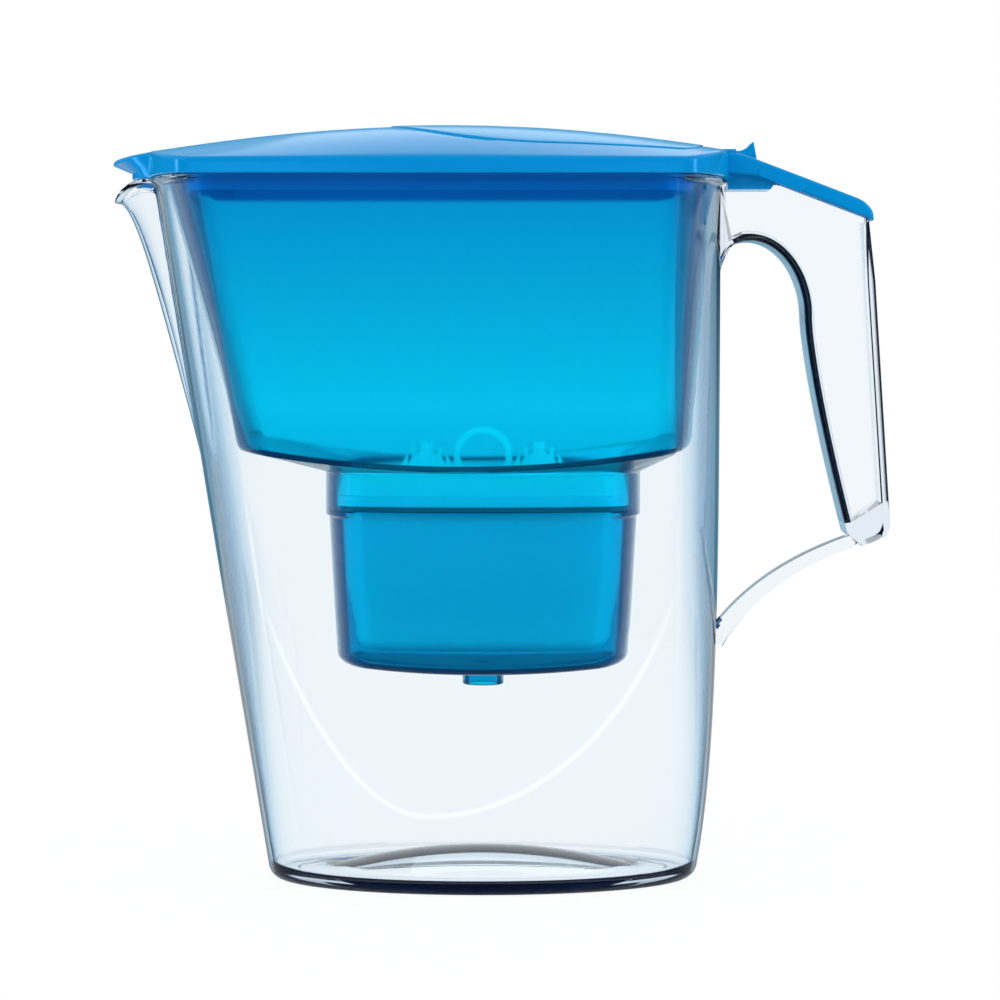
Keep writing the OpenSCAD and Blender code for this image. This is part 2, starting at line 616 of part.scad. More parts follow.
// ---- Fill hatch ----
function hatch_ring(share, o, drop) = let (edge = hatch_plan(o), mid = [hatch_x, 0])
    on_crown([for (p = edge) lerp(mid, p, share)], drop);
module hatch_plate() {
    low = hatch_t - hatch_proud;
    loft([hatch_ring(0.35, 0.8, low), hatch_ring(0.7, 0.8, low), hatch_ring(1, 0.8, low),
          hatch_ring(1, 0, 0.2), hatch_ring(1, 0.5, -hatch_proud),
          hatch_ring(0.7, 0.5, -hatch_proud), hatch_ring(0.35, 0.5, -hatch_proud)],
        [hatch_x, 0, crown(hatch_x, 0) - low], [hatch_x, 0, crown(hatch_x, 0) + hatch_proud]);
}
// Side outline of the lever: from the hatch over the barrel to the thumb tab
module lever_shape() {
    tab_foot = [lever_l * 0.4, barrel_d / 2 - 0.3];
    tab_tip = [lever_l * 0.87, tab_h];
    curl = [for (i = [0:5]) let (t = i / 5) [lerp(tab_foot.x, tab_tip.x, t), lerp(tab_foot.y, tab_tip.y, t * t)]];
    translate([axis_x, axis_z]) polygon(concat(
        [[hatch_rear - axis_x - 2.5, 2], [hatch_rear - axis_x - 2.5, 2.9], [0, barrel_d / 2 - 0.2]], curl,
        [[tab_tip.x + 0.4, tab_tip.y], [lever_l, -0.6], [lever_l - 0.8, -1.4], [0, -barrel_d / 2 + 0.8],
         [-3, 0.4]]));
}
module fill_hatch() {
    color("deepskyblue") union() {
        hatch_plate();
        across(lever_w) lever_shape();
        axle(barrel_d, lever_w);
        axle(pin_d, lever_w + 2 * pin_l);
    }
}

// ---- Cartridge ----
seat_z = ledge_z + hopper_wall + 0.2 + seal_t;  // underside of the cartridge's flange
case_z = well_z + hopper_wall + cartridge_clear;
cartridge_depth = seat_z - case_z;
seat_in = hopper_wall + cartridge_gap;          // flange edge, in from the collar's outside
case_in = seat_in + seat_w;
case_round = 5;
// How far the case lies in from the collar's outside at height z
function case_side(z) = case_in + cartridge_taper * lookup((seat_z - z) / cartridge_depth,
    [[0, 0], [0.5, 0.3], [0.85, 1], [1, 1.1]]);
function seat_ring(z, o) = collar(z, o, few_columns);
function case_ring(z, o) = seat_ring(z, case_side(z) + o);
outlet_d = 9;
function outlet(z) = oval(z, well_x, outlet_d, outlet_d, 0, few_columns);
module cartridge_housing() {
    t = cartridge_wall;
    color("powderblue") loft_loop([
        outlet(case_z), case_ring(case_z, case_round),
        case_ring(case_z + 1.5, 1.5), case_ring(case_z + case_round, 0),
        case_ring(lerp(case_z, seat_z, 0.15), 0), case_ring(lerp(case_z, seat_z, 0.5), 0),
        case_ring(seat_z, 0), seat_ring(seat_z, seat_in), seat_ring(seat_z + seat_t, seat_in),
        case_ring(seat_z + seat_t, t), case_ring(lerp(case_z, seat_z, 0.5), t),
        case_ring(lerp(case_z, seat_z, 0.15), t), case_ring(case_z + case_round, t),
        case_ring(case_z + t, case_round), outlet(case_z + t)]);
}
module sealing_ring() {
    z = seat_z - seal_t;
    color("dimgray") loft_loop([seat_ring(z, case_in - 0.3), seat_ring(z, seat_in + 0.2),
        seat_ring(seat_z, seat_in + 0.2), seat_ring(seat_z, case_in - 0.3)]);
}
cap_z = seat_z + seat_t;
cap_wall = 1.5;
grip_z = cap_z + cap_h + grip_d / 2 - 7;
inlet_x = 20;                                   // distance of the inlet domes from the grip
inlet_d = 19;
slot_pitch = 3;
module inlet_slot(x) translate([x, 0, cap_z + cap_h]) cube([1.6, 11.6, 2 * cap_h], center = true);
module cartridge_cap() {
    side_z = cap_z + cap_h - 3;
    color("lightcyan") difference() {
        union() {
            loft([seat_ring(side_z, case_in + 3 * cap_wall),
                  seat_ring(cap_z, case_in + cap_wall), seat_ring(cap_z, seat_in + 0.3),
                  seat_ring(cap_z + 1.5, seat_in + 0.3), seat_ring(cap_z + 2, seat_in + 1.2),
                  seat_ring(side_z, seat_in + 2.4), seat_ring(cap_z + cap_h - 0.8, seat_in + 4.5),
                  seat_ring(cap_z + cap_h, seat_in + 12)],
                [well_x, 0, cap_z + cap_h - cap_wall], [well_x, 0, cap_z + cap_h + 0.3]);
            translate([well_x, 0, grip_z]) rotate([90, 0, 0]) difference() {
                cylinder(h = grip_t, d = grip_d, center = true, $fn = 32);
                cylinder(h = grip_t + 2, d = grip_hole_d, center = true, $fn = 32);
            }
            for (side = [-1, 1]) translate([well_x + side * inlet_x, 0, cap_z + cap_h - 0.5]) {
                cylinder(h = 6.5, d1 = inlet_d, d2 = inlet_d - 8, $fn = 24);
                cylinder(h = 9, d = 4, $fn = 16);
            }
        }
        for (side = [-1, 1], k = [-2, -1, 1, 2]) inlet_slot(well_x + side * inlet_x + slot_pitch * k);
    }
}
media_gap = 0.25;
function media_ring(z) = case_ring(z, cartridge_wall + media_gap);
media_low = case_z + case_round + 0.5;
outlet_top = media_low + screen_t;
media_top = seat_z - 1;
felt_z = lerp(outlet_top, media_top - screen_t, 1 - carbon_part);
// A plate between two heights inside the case
module media_layer(low, high) loft([media_ring(low), media_ring(high)], [well_x, 0, low], [well_x, 0, high]);
module outlet_screen() color("white") media_layer(media_low, outlet_top);
module resin_bed() color("goldenrod") media_layer(outlet_top + media_gap, felt_z - media_gap);
module divider_felt() color("white") media_layer(felt_z, felt_z + screen_t);
module carbon_bed() color("dimgray") media_layer(felt_z + screen_t + media_gap, media_top - media_gap);
module inlet_screen() color("white") media_layer(media_top, media_top + screen_t);

jug();
handle();
hopper();
cartridge_well();
lid();
fill_hatch();
cartridge_housing();
cartridge_cap();
sealing_ring();
inlet_screen();
carbon_bed();
divider_felt();
resin_bed();
outlet_screen();
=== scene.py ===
import math
import bpy
import bmesh
import numpy as np
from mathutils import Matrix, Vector


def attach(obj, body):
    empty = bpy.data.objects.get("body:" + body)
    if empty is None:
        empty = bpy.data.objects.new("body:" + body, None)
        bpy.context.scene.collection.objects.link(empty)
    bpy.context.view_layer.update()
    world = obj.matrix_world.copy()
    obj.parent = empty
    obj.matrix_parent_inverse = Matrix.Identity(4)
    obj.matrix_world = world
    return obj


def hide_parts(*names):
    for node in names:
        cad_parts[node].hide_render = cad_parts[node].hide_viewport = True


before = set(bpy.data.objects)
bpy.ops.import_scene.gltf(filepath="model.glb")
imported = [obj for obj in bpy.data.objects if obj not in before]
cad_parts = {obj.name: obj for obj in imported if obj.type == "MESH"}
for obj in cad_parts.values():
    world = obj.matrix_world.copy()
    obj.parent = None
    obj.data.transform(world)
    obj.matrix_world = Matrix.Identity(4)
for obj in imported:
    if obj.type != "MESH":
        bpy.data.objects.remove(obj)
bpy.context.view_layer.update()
print("frame loaded:", ", ".join(sorted(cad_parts)))

mm = 0.001  # every size below is in millimetres, and meshes are made in metres
sharpDeg = 32  # an edge that bends more than this stays sharp
flatShare = 0.82  # how far along its half length a plan's sides run straight


# small helpers for shapes

def mix(a, b, t):
    return a + (b - a) * t


def bow(s):
    # half a circle: 1 in the middle and 0 at either end
    return np.sqrt(np.maximum(0, 1 - np.asarray(s, float) ** 2))


def softClamp(t, edge):
    # runs up to 1 and stays there, with a rounded corner
    over = np.clip((t - 1 + edge) / (2 * edge), 0, 1)
    return np.minimum(t, 1 + edge) * (over < 1) + (over >= 1) - edge * over ** 2 * (over < 1)


def planPlaces(rearSteps, sideSteps, frontSteps, flat):
    # places round a plan: a point of a rounded oblong with flat sides, and one of a unit circle
    turn = math.acos(flat) / (math.pi / 2)
    half = []
    for i in range(rearSteps + 1):
        a = math.pi / 2 * i / rearSteps
        half.append((flat + (1 - flat) * math.cos(a), math.sin(a), math.cos(a * turn), math.sin(a * turn)))
    for i in range(1, sideSteps):
        u = flat * math.cos(math.pi * i / sideSteps)
        half.append((u, 1, u, math.sqrt(1 - u * u)))
    for i in range(frontSteps, -1, -1):
        a = math.pi / 2 * (i / frontSteps) ** 1.5
        half.append((-flat - (1 - flat) * math.cos(a), math.sin(a), -math.cos(a * turn), math.sin(a * turn)))
    half = np.array(half)
    return np.concatenate([half, half[-2:0:-1] * [1, -1, 1, -1]])


places = planPlaces(rearSteps=18, sideSteps=56, frontSteps=72, flat=flatShare)
oblong, circle = places[:, :2], places[:, 2:]


def ring(xy, z):
    return np.column_stack([xy, np.broadcast_to(z, len(xy))])


def ovalXy(x, length, width, squareness=0.0):
    return mix(circle, oblong, squareness) * [length / 2, width / 2] + [x, 0]


def evenShading(piece):
    # flat faces stay flat beside their rounded edges, which matters where light passes through
    piece.modifiers.new("evenShading", "WEIGHTED_NORMAL").keep_sharp = True
    seen = bpy.context.evaluated_depsgraph_get()
    piece.data = bpy.data.meshes.new_from_object(piece.evaluated_get(seen))
    piece.modifiers.clear()


def newObject(name, verts, faces):
    mesh = bpy.data.meshes.new(name)
    mesh.from_pydata((np.asarray(verts) * mm).tolist(), [], faces)
    mesh.validate()
    fixed = bmesh.new()
    fixed.from_mesh(mesh)
    bmesh.ops.recalc_face_normals(fixed, faces=fixed.faces)
    fixed.to_mesh(mesh)
    fixed.free()
    mesh.shade_smooth()
    mesh.set_sharp_from_angle(angle=math.radians(sharpDeg))
    made = bpy.data.objects.new(name, mesh)
    bpy.context.scene.collection.objects.link(made)
    return made


def lofted(name, rings, closed=False):
    # a skin through rings of points; closed joins the last ring to the first, else flat fans shut both ends
    n, count = len(rings[0]), len(rings)
    verts = np.concatenate(rings)
    near = np.arange(n)
    far = (near + 1) % n
    faces = []
    for k in range(count if closed else count - 1):
        a, b = k * n, (k + 1) % count * n
        faces += np.column_stack([a + near, b + near, b + far, a + far]).tolist()
    if not closed:
        for k, flip in ((0, 1), (count - 1, -1)):
            tip = len(verts)
            verts = np.vstack([verts, rings[k].mean(0)])
            faces += [[tip, k * n + i, k * n + j][::flip] for i, j in zip(near.tolist(), far.tolist())]
    return newObject(name, verts, faces)


def prism(name, outline, width, roundOff=0.0, steps=4, y=0.0):
    # an outline in the XZ plane, drawn across Y, with its long edges rounded
    n = len(outline)
    verts = [(p[0], y + s * width / 2, p[1]) for s in (-1, 1) for p in outline]
    faces = [list(range(n))[::-1], list(range(n, 2 * n))]
    faces += [[i, (i + 1) % n, n + (i + 1) % n, n + i] for i in range(n)]
    made = newObject(name, verts, faces)
    if roundOff:
        shaped = bmesh.new()
        shaped.from_mesh(made.data)
        ends = [e for e in shaped.edges if abs(e.verts[0].co.y - e.verts[1].co.y) < 1e-7]
        bmesh.ops.bevel(shaped, geom=ends, offset=roundOff * mm, segments=steps, profile=0.5,
                        affect="EDGES", clamp_overlap=True)
        shaped.to_mesh(made.data)
        shaped.free()
    return made


def barrel(name, x, z, diameter, length, steps=64):
    # a round bar across Y
    turn = np.arange(steps) / steps * 2 * math.pi
    xz = np.column_stack([np.cos(turn), np.sin(turn)]) * diameter / 2
    rings = [np.column_stack([xz[:, 0] + x, np.full(steps, s * length / 2), xz[:, 1] + z]) for s in (-1, 1)]
    return lofted(name, rings)


def combined(base, steps):
    # joins and cuts: steps is a list of ("UNION" or "DIFFERENCE", tool object)
    for kind, tool in steps:
        cut = base.modifiers.new(tool.name, "BOOLEAN")
        cut.operation, cut.object, cut.solver = kind, tool, "MANIFOLD"
        seen = bpy.context.evaluated_depsgraph_get()
        mesh = bpy.data.meshes.new_from_object(base.evaluated_get(seen))
        base.modifiers.clear()
        base.data = mesh
        bpy.data.objects.remove(tool)
        if not len(mesh.polygons):
            raise RuntimeError(f"{base.name} lost its mesh at {kind}")
    base.data.name = base.name
    base.data.shade_smooth()
    base.data.set_sharp_from_angle(angle=math.radians(sharpDeg))
    return base


# camera: level with the upper half of the body, looking along +Y and tipped down a little

cameraPlace = dict(distance=1150, height=190.1, across=-0.54, pitchDeg=2.73, lens=115.98)

cameraData = bpy.data.cameras.new("camera")
cameraData.lens = cameraPlace["lens"]
cameraData.sensor_width = 36
cameraData.clip_end = 50
camera = bpy.data.objects.new("camera", cameraData)
camera.location = Vector((cameraPlace["across"], -cameraPlace["distance"], cameraPlace["height"])) * mm
camera.rotation_euler = (math.radians(90 - cameraPlace["pitchDeg"]), 0, 0)
bpy.context.scene.collection.objects.link(camera)
bpy.context.scene.camera = camera
print("camera placed")


# jug

jug = dict(height=248.6, baseL=151.9, baseW=90, baseX=-6.8, frontLean=39.4, rearLean=8.5, swellH=42,
           panelFootW=95.5, rimW=105, wall=2.4, baseR=4.5, floorT=3.2, domeRise=7, domeL=107, footW=5,
           recess=1, beadOut=1.9, beadH=1.2, panelLow=28.4, panelHigh=110, panelLowU=-0.23, fillet=0.3,
           panelEase=0.95,  # how much of a quarter ellipse each half of the panel's edge follows
           spoutFoot=149, spoutReach=13.6, spoutW=34, spoutFootW=18, spoutFlare=0.2, lipDrop=7.4,
           spoutFillet=6,  # times that the spout's outline is smoothed into the body
           seenWall=1.6)  # the wall as drawn, a little thin, so that it bends less what stands inside
rimFront = jug["baseX"] - jug["baseL"] / 2 - jug["frontLean"]
rimRear = jug["baseX"] + jug["baseL"] / 2 + jug["rearLean"]


def frontX(z):
    return jug["baseX"] - jug["baseL"] / 2 - jug["frontLean"] * z / jug["height"]


def rearX(z):
    return jug["baseX"] + jug["baseL"] / 2 + jug["rearLean"] * (1 - np.exp(-z / jug["swellH"]))


def panelEdge(u):
    # height of a side panel's lower edge: two quarter ellipses that meet at its lowest point
    reach = np.where(u > jug["panelLowU"], flatShare - jug["panelLowU"], flatShare + jug["panelLowU"])
    ease = jug["panelEase"]
    sag = bow(ease * np.clip((u - jug["panelLowU"]) / reach, -1, 1))
    sag = np.where(abs(u) > flatShare, 0, (sag - bow(ease)) / (1 - bow(ease)))
    return jug["panelHigh"] - (jug["panelHigh"] - jug["panelLow"]) * sag


def spoutRise(z):
    return np.clip((z - jug["spoutFoot"]) / (jug["height"] - jug["spoutFoot"]), 0, 1)


def wallRing(z, inset):
    # a ring round the wall: oval at the foot, a rounded oblong above the panels' lower edges, and the spout
    # pushed out of its front, with a lip that droops at the rim
    z = np.broadcast_to(z, len(oblong)).astype(float)
    rise = softClamp(z / panelEdge(oblong[:, 0]), jug["fillet"])
    p = mix(circle, oblong, rise[:, None])
    halfL = (rearX(z) - frontX(z)) / 2 - inset
    panelHalf = mix(jug["panelFootW"], jug["rimW"], z / jug["height"]) / 2
    y = (mix(jug["baseW"] / 2, panelHalf, rise) - inset) * p[:, 1]
    up = spoutRise(z)
    spoutHalf = mix(jug["spoutFootW"], jug["spoutW"], up) / 2 - inset
    b = np.where(p[:, 0] < 0, bow(np.minimum(1, abs(y) / spoutHalf)), 0)
    for turn in range(jug["spoutFillet"]):
        b = (np.roll(b, 1) + 2 * b + np.roll(b, -1)) / 4
    flare = (1 - jug["spoutFlare"]) * up + jug["spoutFlare"] * up ** 6
    x = (rearX(z) + frontX(z)) / 2 + halfL * p[:, 0] - jug["spoutReach"] * flare * b
    return np.column_stack([x, y, z - jug["lipDrop"] * up ** 10 * b ** 3])


def wallRow(v, low, inset):
    # v is 0 at height low, 1 at the panel's edge and 2 at the rim
    edge = panelEdge(oblong[:, 0])
    return wallRing(mix(low, edge, v) if v < 1 else mix(edge, jug["height"], v - 1), inset)


def domeRing(share, low):
    length = jug["domeL"] * share
    return ring(ovalXy(jug["baseX"], length, length * jug["baseW"] / jug["baseL"]),
                low + jug["domeRise"] * (1 - share * share))


def floorEdge(low, radius, inset, steps=8):
    return [wallRing(low + radius * (1 - math.cos(a)), inset + radius * (1 - math.sin(a)))
            for a in np.linspace(0, math.pi / 2, steps + 1)]


# rows of points up the wall, closest where it creases: 1 is the panel's lower edge and 2 the rim
jugRows = [*np.linspace(0.08, 0.84, 11), *np.linspace(0.87, 1, 8), 1.0025, 1.005,
           *np.linspace(1.008, 1.12, 10), *np.linspace(1.15, 1.9, 25), 1.92, 1.94, 1.955]
domeShares = np.linspace(0.06, 1, 14)


def jugOutside():
    footL = jug["baseL"] - 2 * jug["baseR"] - 2 * jug["footW"]
    footW = jug["baseW"] - 2 * jug["baseR"] - 2 * jug["footW"]
    top, bead = jug["height"], jug["beadOut"]
    rings = [domeRing(s, jug["recess"]) for s in domeShares]
    rings += [ring(ovalXy(jug["baseX"], footL - 2 - 2 * d, footW - 2 - 2 * d), jug["recess"]) for d in (1, 0)]
    rings += [ring(ovalXy(jug["baseX"], footL - 0.5, footW - 0.5), 0.25),
              ring(ovalXy(jug["baseX"], footL, footW), 0)]
    rings += floorEdge(0, jug["baseR"], 0)
    rings += [wallRow(v, jug["baseR"], 0) for v in jugRows]
    rings += [wallRing(top - jug["beadH"] - d, -o) for d, o in
              ((1.9, 0), (1.2, 0.15), (0.7, 0.6), (0.35, 1.3), (0.2, 1.6))]
    rings += [wallRing(top - d, o - bead) for d, o in
              ((1.1, 0.12), (0.9, 0), (0.4, 0), (0.1, 0.15), (0, 0.5))]
    return rings


def jugInside():
    low, innerR, top = jug["floorT"] + jug["recess"], jug["baseR"] - 1, jug["height"]
    rings = [domeRing(s, low) for s in domeShares] + floorEdge(low, innerR, jug["seenWall"])
    rings += [wallRow(v, low + innerR, jug["seenWall"]) for v in jugRows]
    return rings + [wallRing(top - d, jug["seenWall"] - o) for d, o in ((0.5, 0), (0.15, 0.15), (0, 0.5))]


def jugShell():
    return lofted("jugBody", jugOutside() + jugInside()[::-1])


# handle: places are [distance behind the rim, height]

handle = dict(width=27, wall=2.3, edge=3, topOut=52.9, footOut=60, footZ=121, archX=10, archL=19.4,
              archTop=21.3, archFoot=49, rootIn=1.2, rootL=6, rootDrop=8.2, lipOut=3, hollowFoot=3.6,
              hollowLean=6.5, knee=13.8, slope=0.381, lowH=1, seat=0.3, strutW=11, strutT=4.4, strutR=1.5,
              strutFlare=0.5, strutTop=(11, 0.5), strutBend=(46, 11), strutFoot=36, strutIn=1.6, backTop=14,
              backFoot=6.5, backStart=0.2, frontFoot=3, frontEase=1.3, footL=15.3, kneeRise=0.1,
              rootFall=2.56, coverClear=12)


def behind(x, z):
    return np.array([rimRear + x, z])


def coverLow(x):
    return (jug["height"] + handle["lowH"] - handle["slope"] * max(0, x - handle["knee"])
            + handle["kneeRise"] * max(0, handle["knee"] - x))


def arch(deg, out=0.0):
    a = math.radians(deg)
    return behind(handle["archX"] + (handle["archL"] + out) * math.cos(a),
                  jug["height"] - handle["archFoot"]
                  + (handle["archFoot"] - handle["archTop"] + out) * math.sin(a))


def rootLow(x):
    # underside of the handle's root, which drops to the wall in a fillet
    share = max(0, (handle["rootL"] - x) / (handle["rootL"] + handle["rootIn"]))
    rise = (handle["archFoot"] - handle["archTop"]) * bow((x - handle["archX"]) / handle["archL"])
    drop = handle["rootDrop"] * share ** handle["rootFall"]
    return behind(x, jug["height"] - handle["archFoot"] + rise - drop)


def gripFront(t):
    archOut, footOut = handle["archX"] + handle["archL"], handle["footOut"] - handle["footL"]
    return behind(mix(archOut, footOut, t ** handle["frontEase"]),
                  mix(jug["height"] - handle["archFoot"], handle["footZ"] + handle["frontFoot"], t))


def gripBack(t):
    return behind(mix(handle["topOut"], handle["footOut"], t),
                  mix(jug["height"] - handle["backTop"], handle["footZ"] + handle["backFoot"], t))


# degrees round the finger arch, and how far behind the rim the cover lies over each
archTurns = [102, 84, 60, 36, 14]
archOver = [6, 13.8, 26, 39, 51.9]


def handleStations():
    # pairs of points on the handle's underside and top, from its root to the foot of the grip
    top, start = jug["height"] - handle["seat"], handle["backStart"]
    made = [(rootLow(-handle["rootIn"]), behind(-handle["rootIn"], jug["height"] - 1))]
    for x in np.linspace(-0.4, handle["lipOut"], 7):
        made.append((rootLow(x), behind(x, top)))
    for s in np.linspace(0.3, 1, 4):
        x = mix(handle["lipOut"], handle["rootL"], s)
        made.append((rootLow(x), mix(behind(handle["lipOut"], top),
                                     behind(handle["rootL"], coverLow(handle["rootL"]) - handle["seat"]), s)))
    for deg in np.linspace(98, 14, 36):
        over = np.interp(-deg, [-d for d in archTurns], archOver)
        made.append((arch(deg), behind(over, coverLow(over) - handle["seat"])))
    topBack = behind(handle["topOut"] - 1, coverLow(handle["topOut"] - 1) - handle["seat"])
    for s in np.linspace(0.15, 1, 6):
        made.append((arch(mix(14, 0, s)), mix(topBack, gripBack(start), s)))
    for t in np.linspace(0.06, 1, 24):
        made.append((gripFront(t), gripBack(mix(start, 1, t))))
    foot = (behind(handle["footOut"] - 10, handle["footZ"] - 1.5),
            behind(handle["footOut"] - 1.8, handle["footZ"] + 2))
    for s in (0.35, 0.7, 1):
        back = mix(made[-1][1], foot[1], s) + np.array([0.5 * math.sin(math.pi * s), 0])
        made.append((mix(gripFront(1), foot[0], s), back))
    return made


def hollowStations():
    # the same for the room inside, which is open at the top
    above, wall, foot = handle["coverClear"], handle["wall"], handle["hollowFoot"]
    made = [(rootLow(foot) + [0, wall], behind(foot - handle["hollowLean"], jug["height"] + above))]
    turns = [98, 84, 60, 36, 14]
    overX = [handle["rootL"], 13.8, 26, 39, handle["topOut"] - wall]
    overZ = [above, above, above, 0, -8]
    for deg in np.linspace(98, 14, 28):
        x = np.interp(-deg, [-d for d in turns], overX)
        z = np.interp(-deg, [-d for d in turns], overZ)
        made.append((arch(deg, wall), behind(x, jug["height"] + z)))
    topBack, start = made[-1][1], handle["backStart"]
    for s in np.linspace(0.2, 1, 5):
        made.append((arch(mix(14, 0, s), wall), mix(topBack, gripBack(start) - [wall, 0], s)))
    for t in np.linspace(0.06, 0.95, 22):
        made.append((gripFront(t) + [wall, 0], gripBack(mix(start, 0.97, t)) - [wall, 0]))
    return made


def roundedSlices(name, stations, width, radius, cornerSteps=6):
    # a rounded oblong slice across each pair of points, skinned into one solid
    corner = np.linspace(0, math.pi / 2, cornerSteps + 1)
    rings = []
    for a, b in stations:
        reach = np.linalg.norm(b - a)
        along = (b - a) / reach
        r = min(radius, reach / 2.2, width / 2.2)
        points = []
        for k, (su, sv) in enumerate(((1, 1), (-1, 1), (-1, -1), (1, -1))):
            turn = corner + math.pi / 2 * k
            u = su * (reach / 2 - r) + r * np.cos(turn)
            v = sv * (width / 2 - r) + r * np.sin(turn)
            points.append(np.column_stack([u, v]))
        uv = np.concatenate(points)
        middle = (a + b) / 2
        rings.append(np.column_stack([middle[0] + uv[:, 0] * along[0], uv[:, 1],
                                      middle[1] + uv[:, 0] * along[1]]))
    return lofted(name, rings)


def strutStations(steps=30):
    # a curve with three guide points, from the grip's foot down to the wall, where it is thickest
    top, bend = handle["strutTop"], handle["strutBend"]
    a = behind(handle["footOut"] - top[0], handle["footZ"] + top[1])
    b = behind(handle["footOut"] - bend[0], handle["footZ"] - bend[1])
    c = behind(-handle["strutIn"], handle["footZ"] - handle["strutFoot"])
    made = []
    for t in np.linspace(0, 1, steps + 1):
        at = a * (1 - t) ** 2 + b * 2 * t * (1 - t) + c * t * t
        run = (b - a) * (1 - t) + (c - b) * t
        side = (np.array([-run[1], run[0]]) / np.linalg.norm(run) * handle["strutT"] / 2
                * (1 + handle["strutFlare"] * t * t))
        made.append((at + side, at - side))
    return made


grip = combined(roundedSlices("grip", handleStations(), handle["width"], handle["edge"]), [
    ("UNION", roundedSlices("strut", strutStations(), handle["strutW"], handle["strutR"])),
    ("DIFFERENCE", roundedSlices("gripHollow", hollowStations(), handle["width"] - 2 * handle["wall"],
                                 handle["edge"] - 1.2)),
    ("DIFFERENCE", lofted("jugRoom", jugInside()))])
jugBody = combined(jugShell(), [("UNION", grip)])
evenShading(jugBody)
print("jug made:", len(jugBody.data.polygons), "faces")


# hopper

hopper = dict(wall=1.9, gap=1, flangeT=1.9, depth=102, sag=8, footL=165, footW=89, footX=-13.2, wellShift=0.2,
              collarL=112, collarW=76, collarH=15.5, cupStep=1.2, cupDepth=55, cupTaper=3, nozzleD=14.6,
              nozzleL=6, nozzleWall=2, wellSquare=0.55, collarDrop=0.6, cupR=3.5, cupExtra=0.5,
              cupSag=3.2, cupSagH=25)  # the cup's ends stand higher than its middle, fading upward
hopperIn = jug["wall"] + hopper["gap"]
lowZ = jug["height"] - hopper["depth"]
wellX = jug["baseX"] + hopper["wellShift"]
collarZ = lowZ - hopper["collarDrop"]
ledgeZ = collarZ - hopper["collarH"]
wellZ = ledgeZ - hopper["cupDepth"]


def rimXy(inset):
    halfL, halfW = (rimRear - rimFront) / 2, jug["rimW"] / 2
    return oblong * [halfL - inset, halfW - inset] + [(rimFront + rimRear) / 2, 0]


def hopperRing(t, inset, lift=0.0):
    front = mix(rimFront + hopperIn, hopper["footX"] - hopper["footL"] / 2, t) + inset
    rear = mix(rimRear - hopperIn, hopper["footX"] + hopper["footL"] / 2, t) - inset
    width = mix(jug["rimW"] - 2 * hopperIn, hopper["footW"], t) - 2 * inset
    xy = oblong * [(rear - front) / 2, width / 2] + [(front + rear) / 2, 0]
    return ring(xy, mix(jug["height"], lowZ + lift + hopper["sag"] * oblong[:, 0] ** 2, t))


def collarRing(z, inset):
    return ring(ovalXy(wellX, hopper["collarL"] - 2 * inset, hopper["collarW"] - 2 * inset,
                       hopper["wellSquare"]), z)


def cupRing(z, inset):
    inset = inset + hopper["cupStep"] + hopper["cupTaper"] * (ledgeZ - z) / hopper["cupDepth"]
    xy = ovalXy(wellX, hopper["collarL"] - 2 * inset, hopper["collarW"] - 2 * inset, hopper["wellSquare"])
    low = np.clip(1 - (z - wellZ) / hopper["cupSagH"], 0, 1)
    return ring(xy, z + hopper["cupSag"] * low * ((xy[:, 0] - wellX) / hopper["collarL"] * 2) ** 2)


def roundZ(z, diameter, x=wellX):
    return ring(ovalXy(x, diameter, diameter), z)


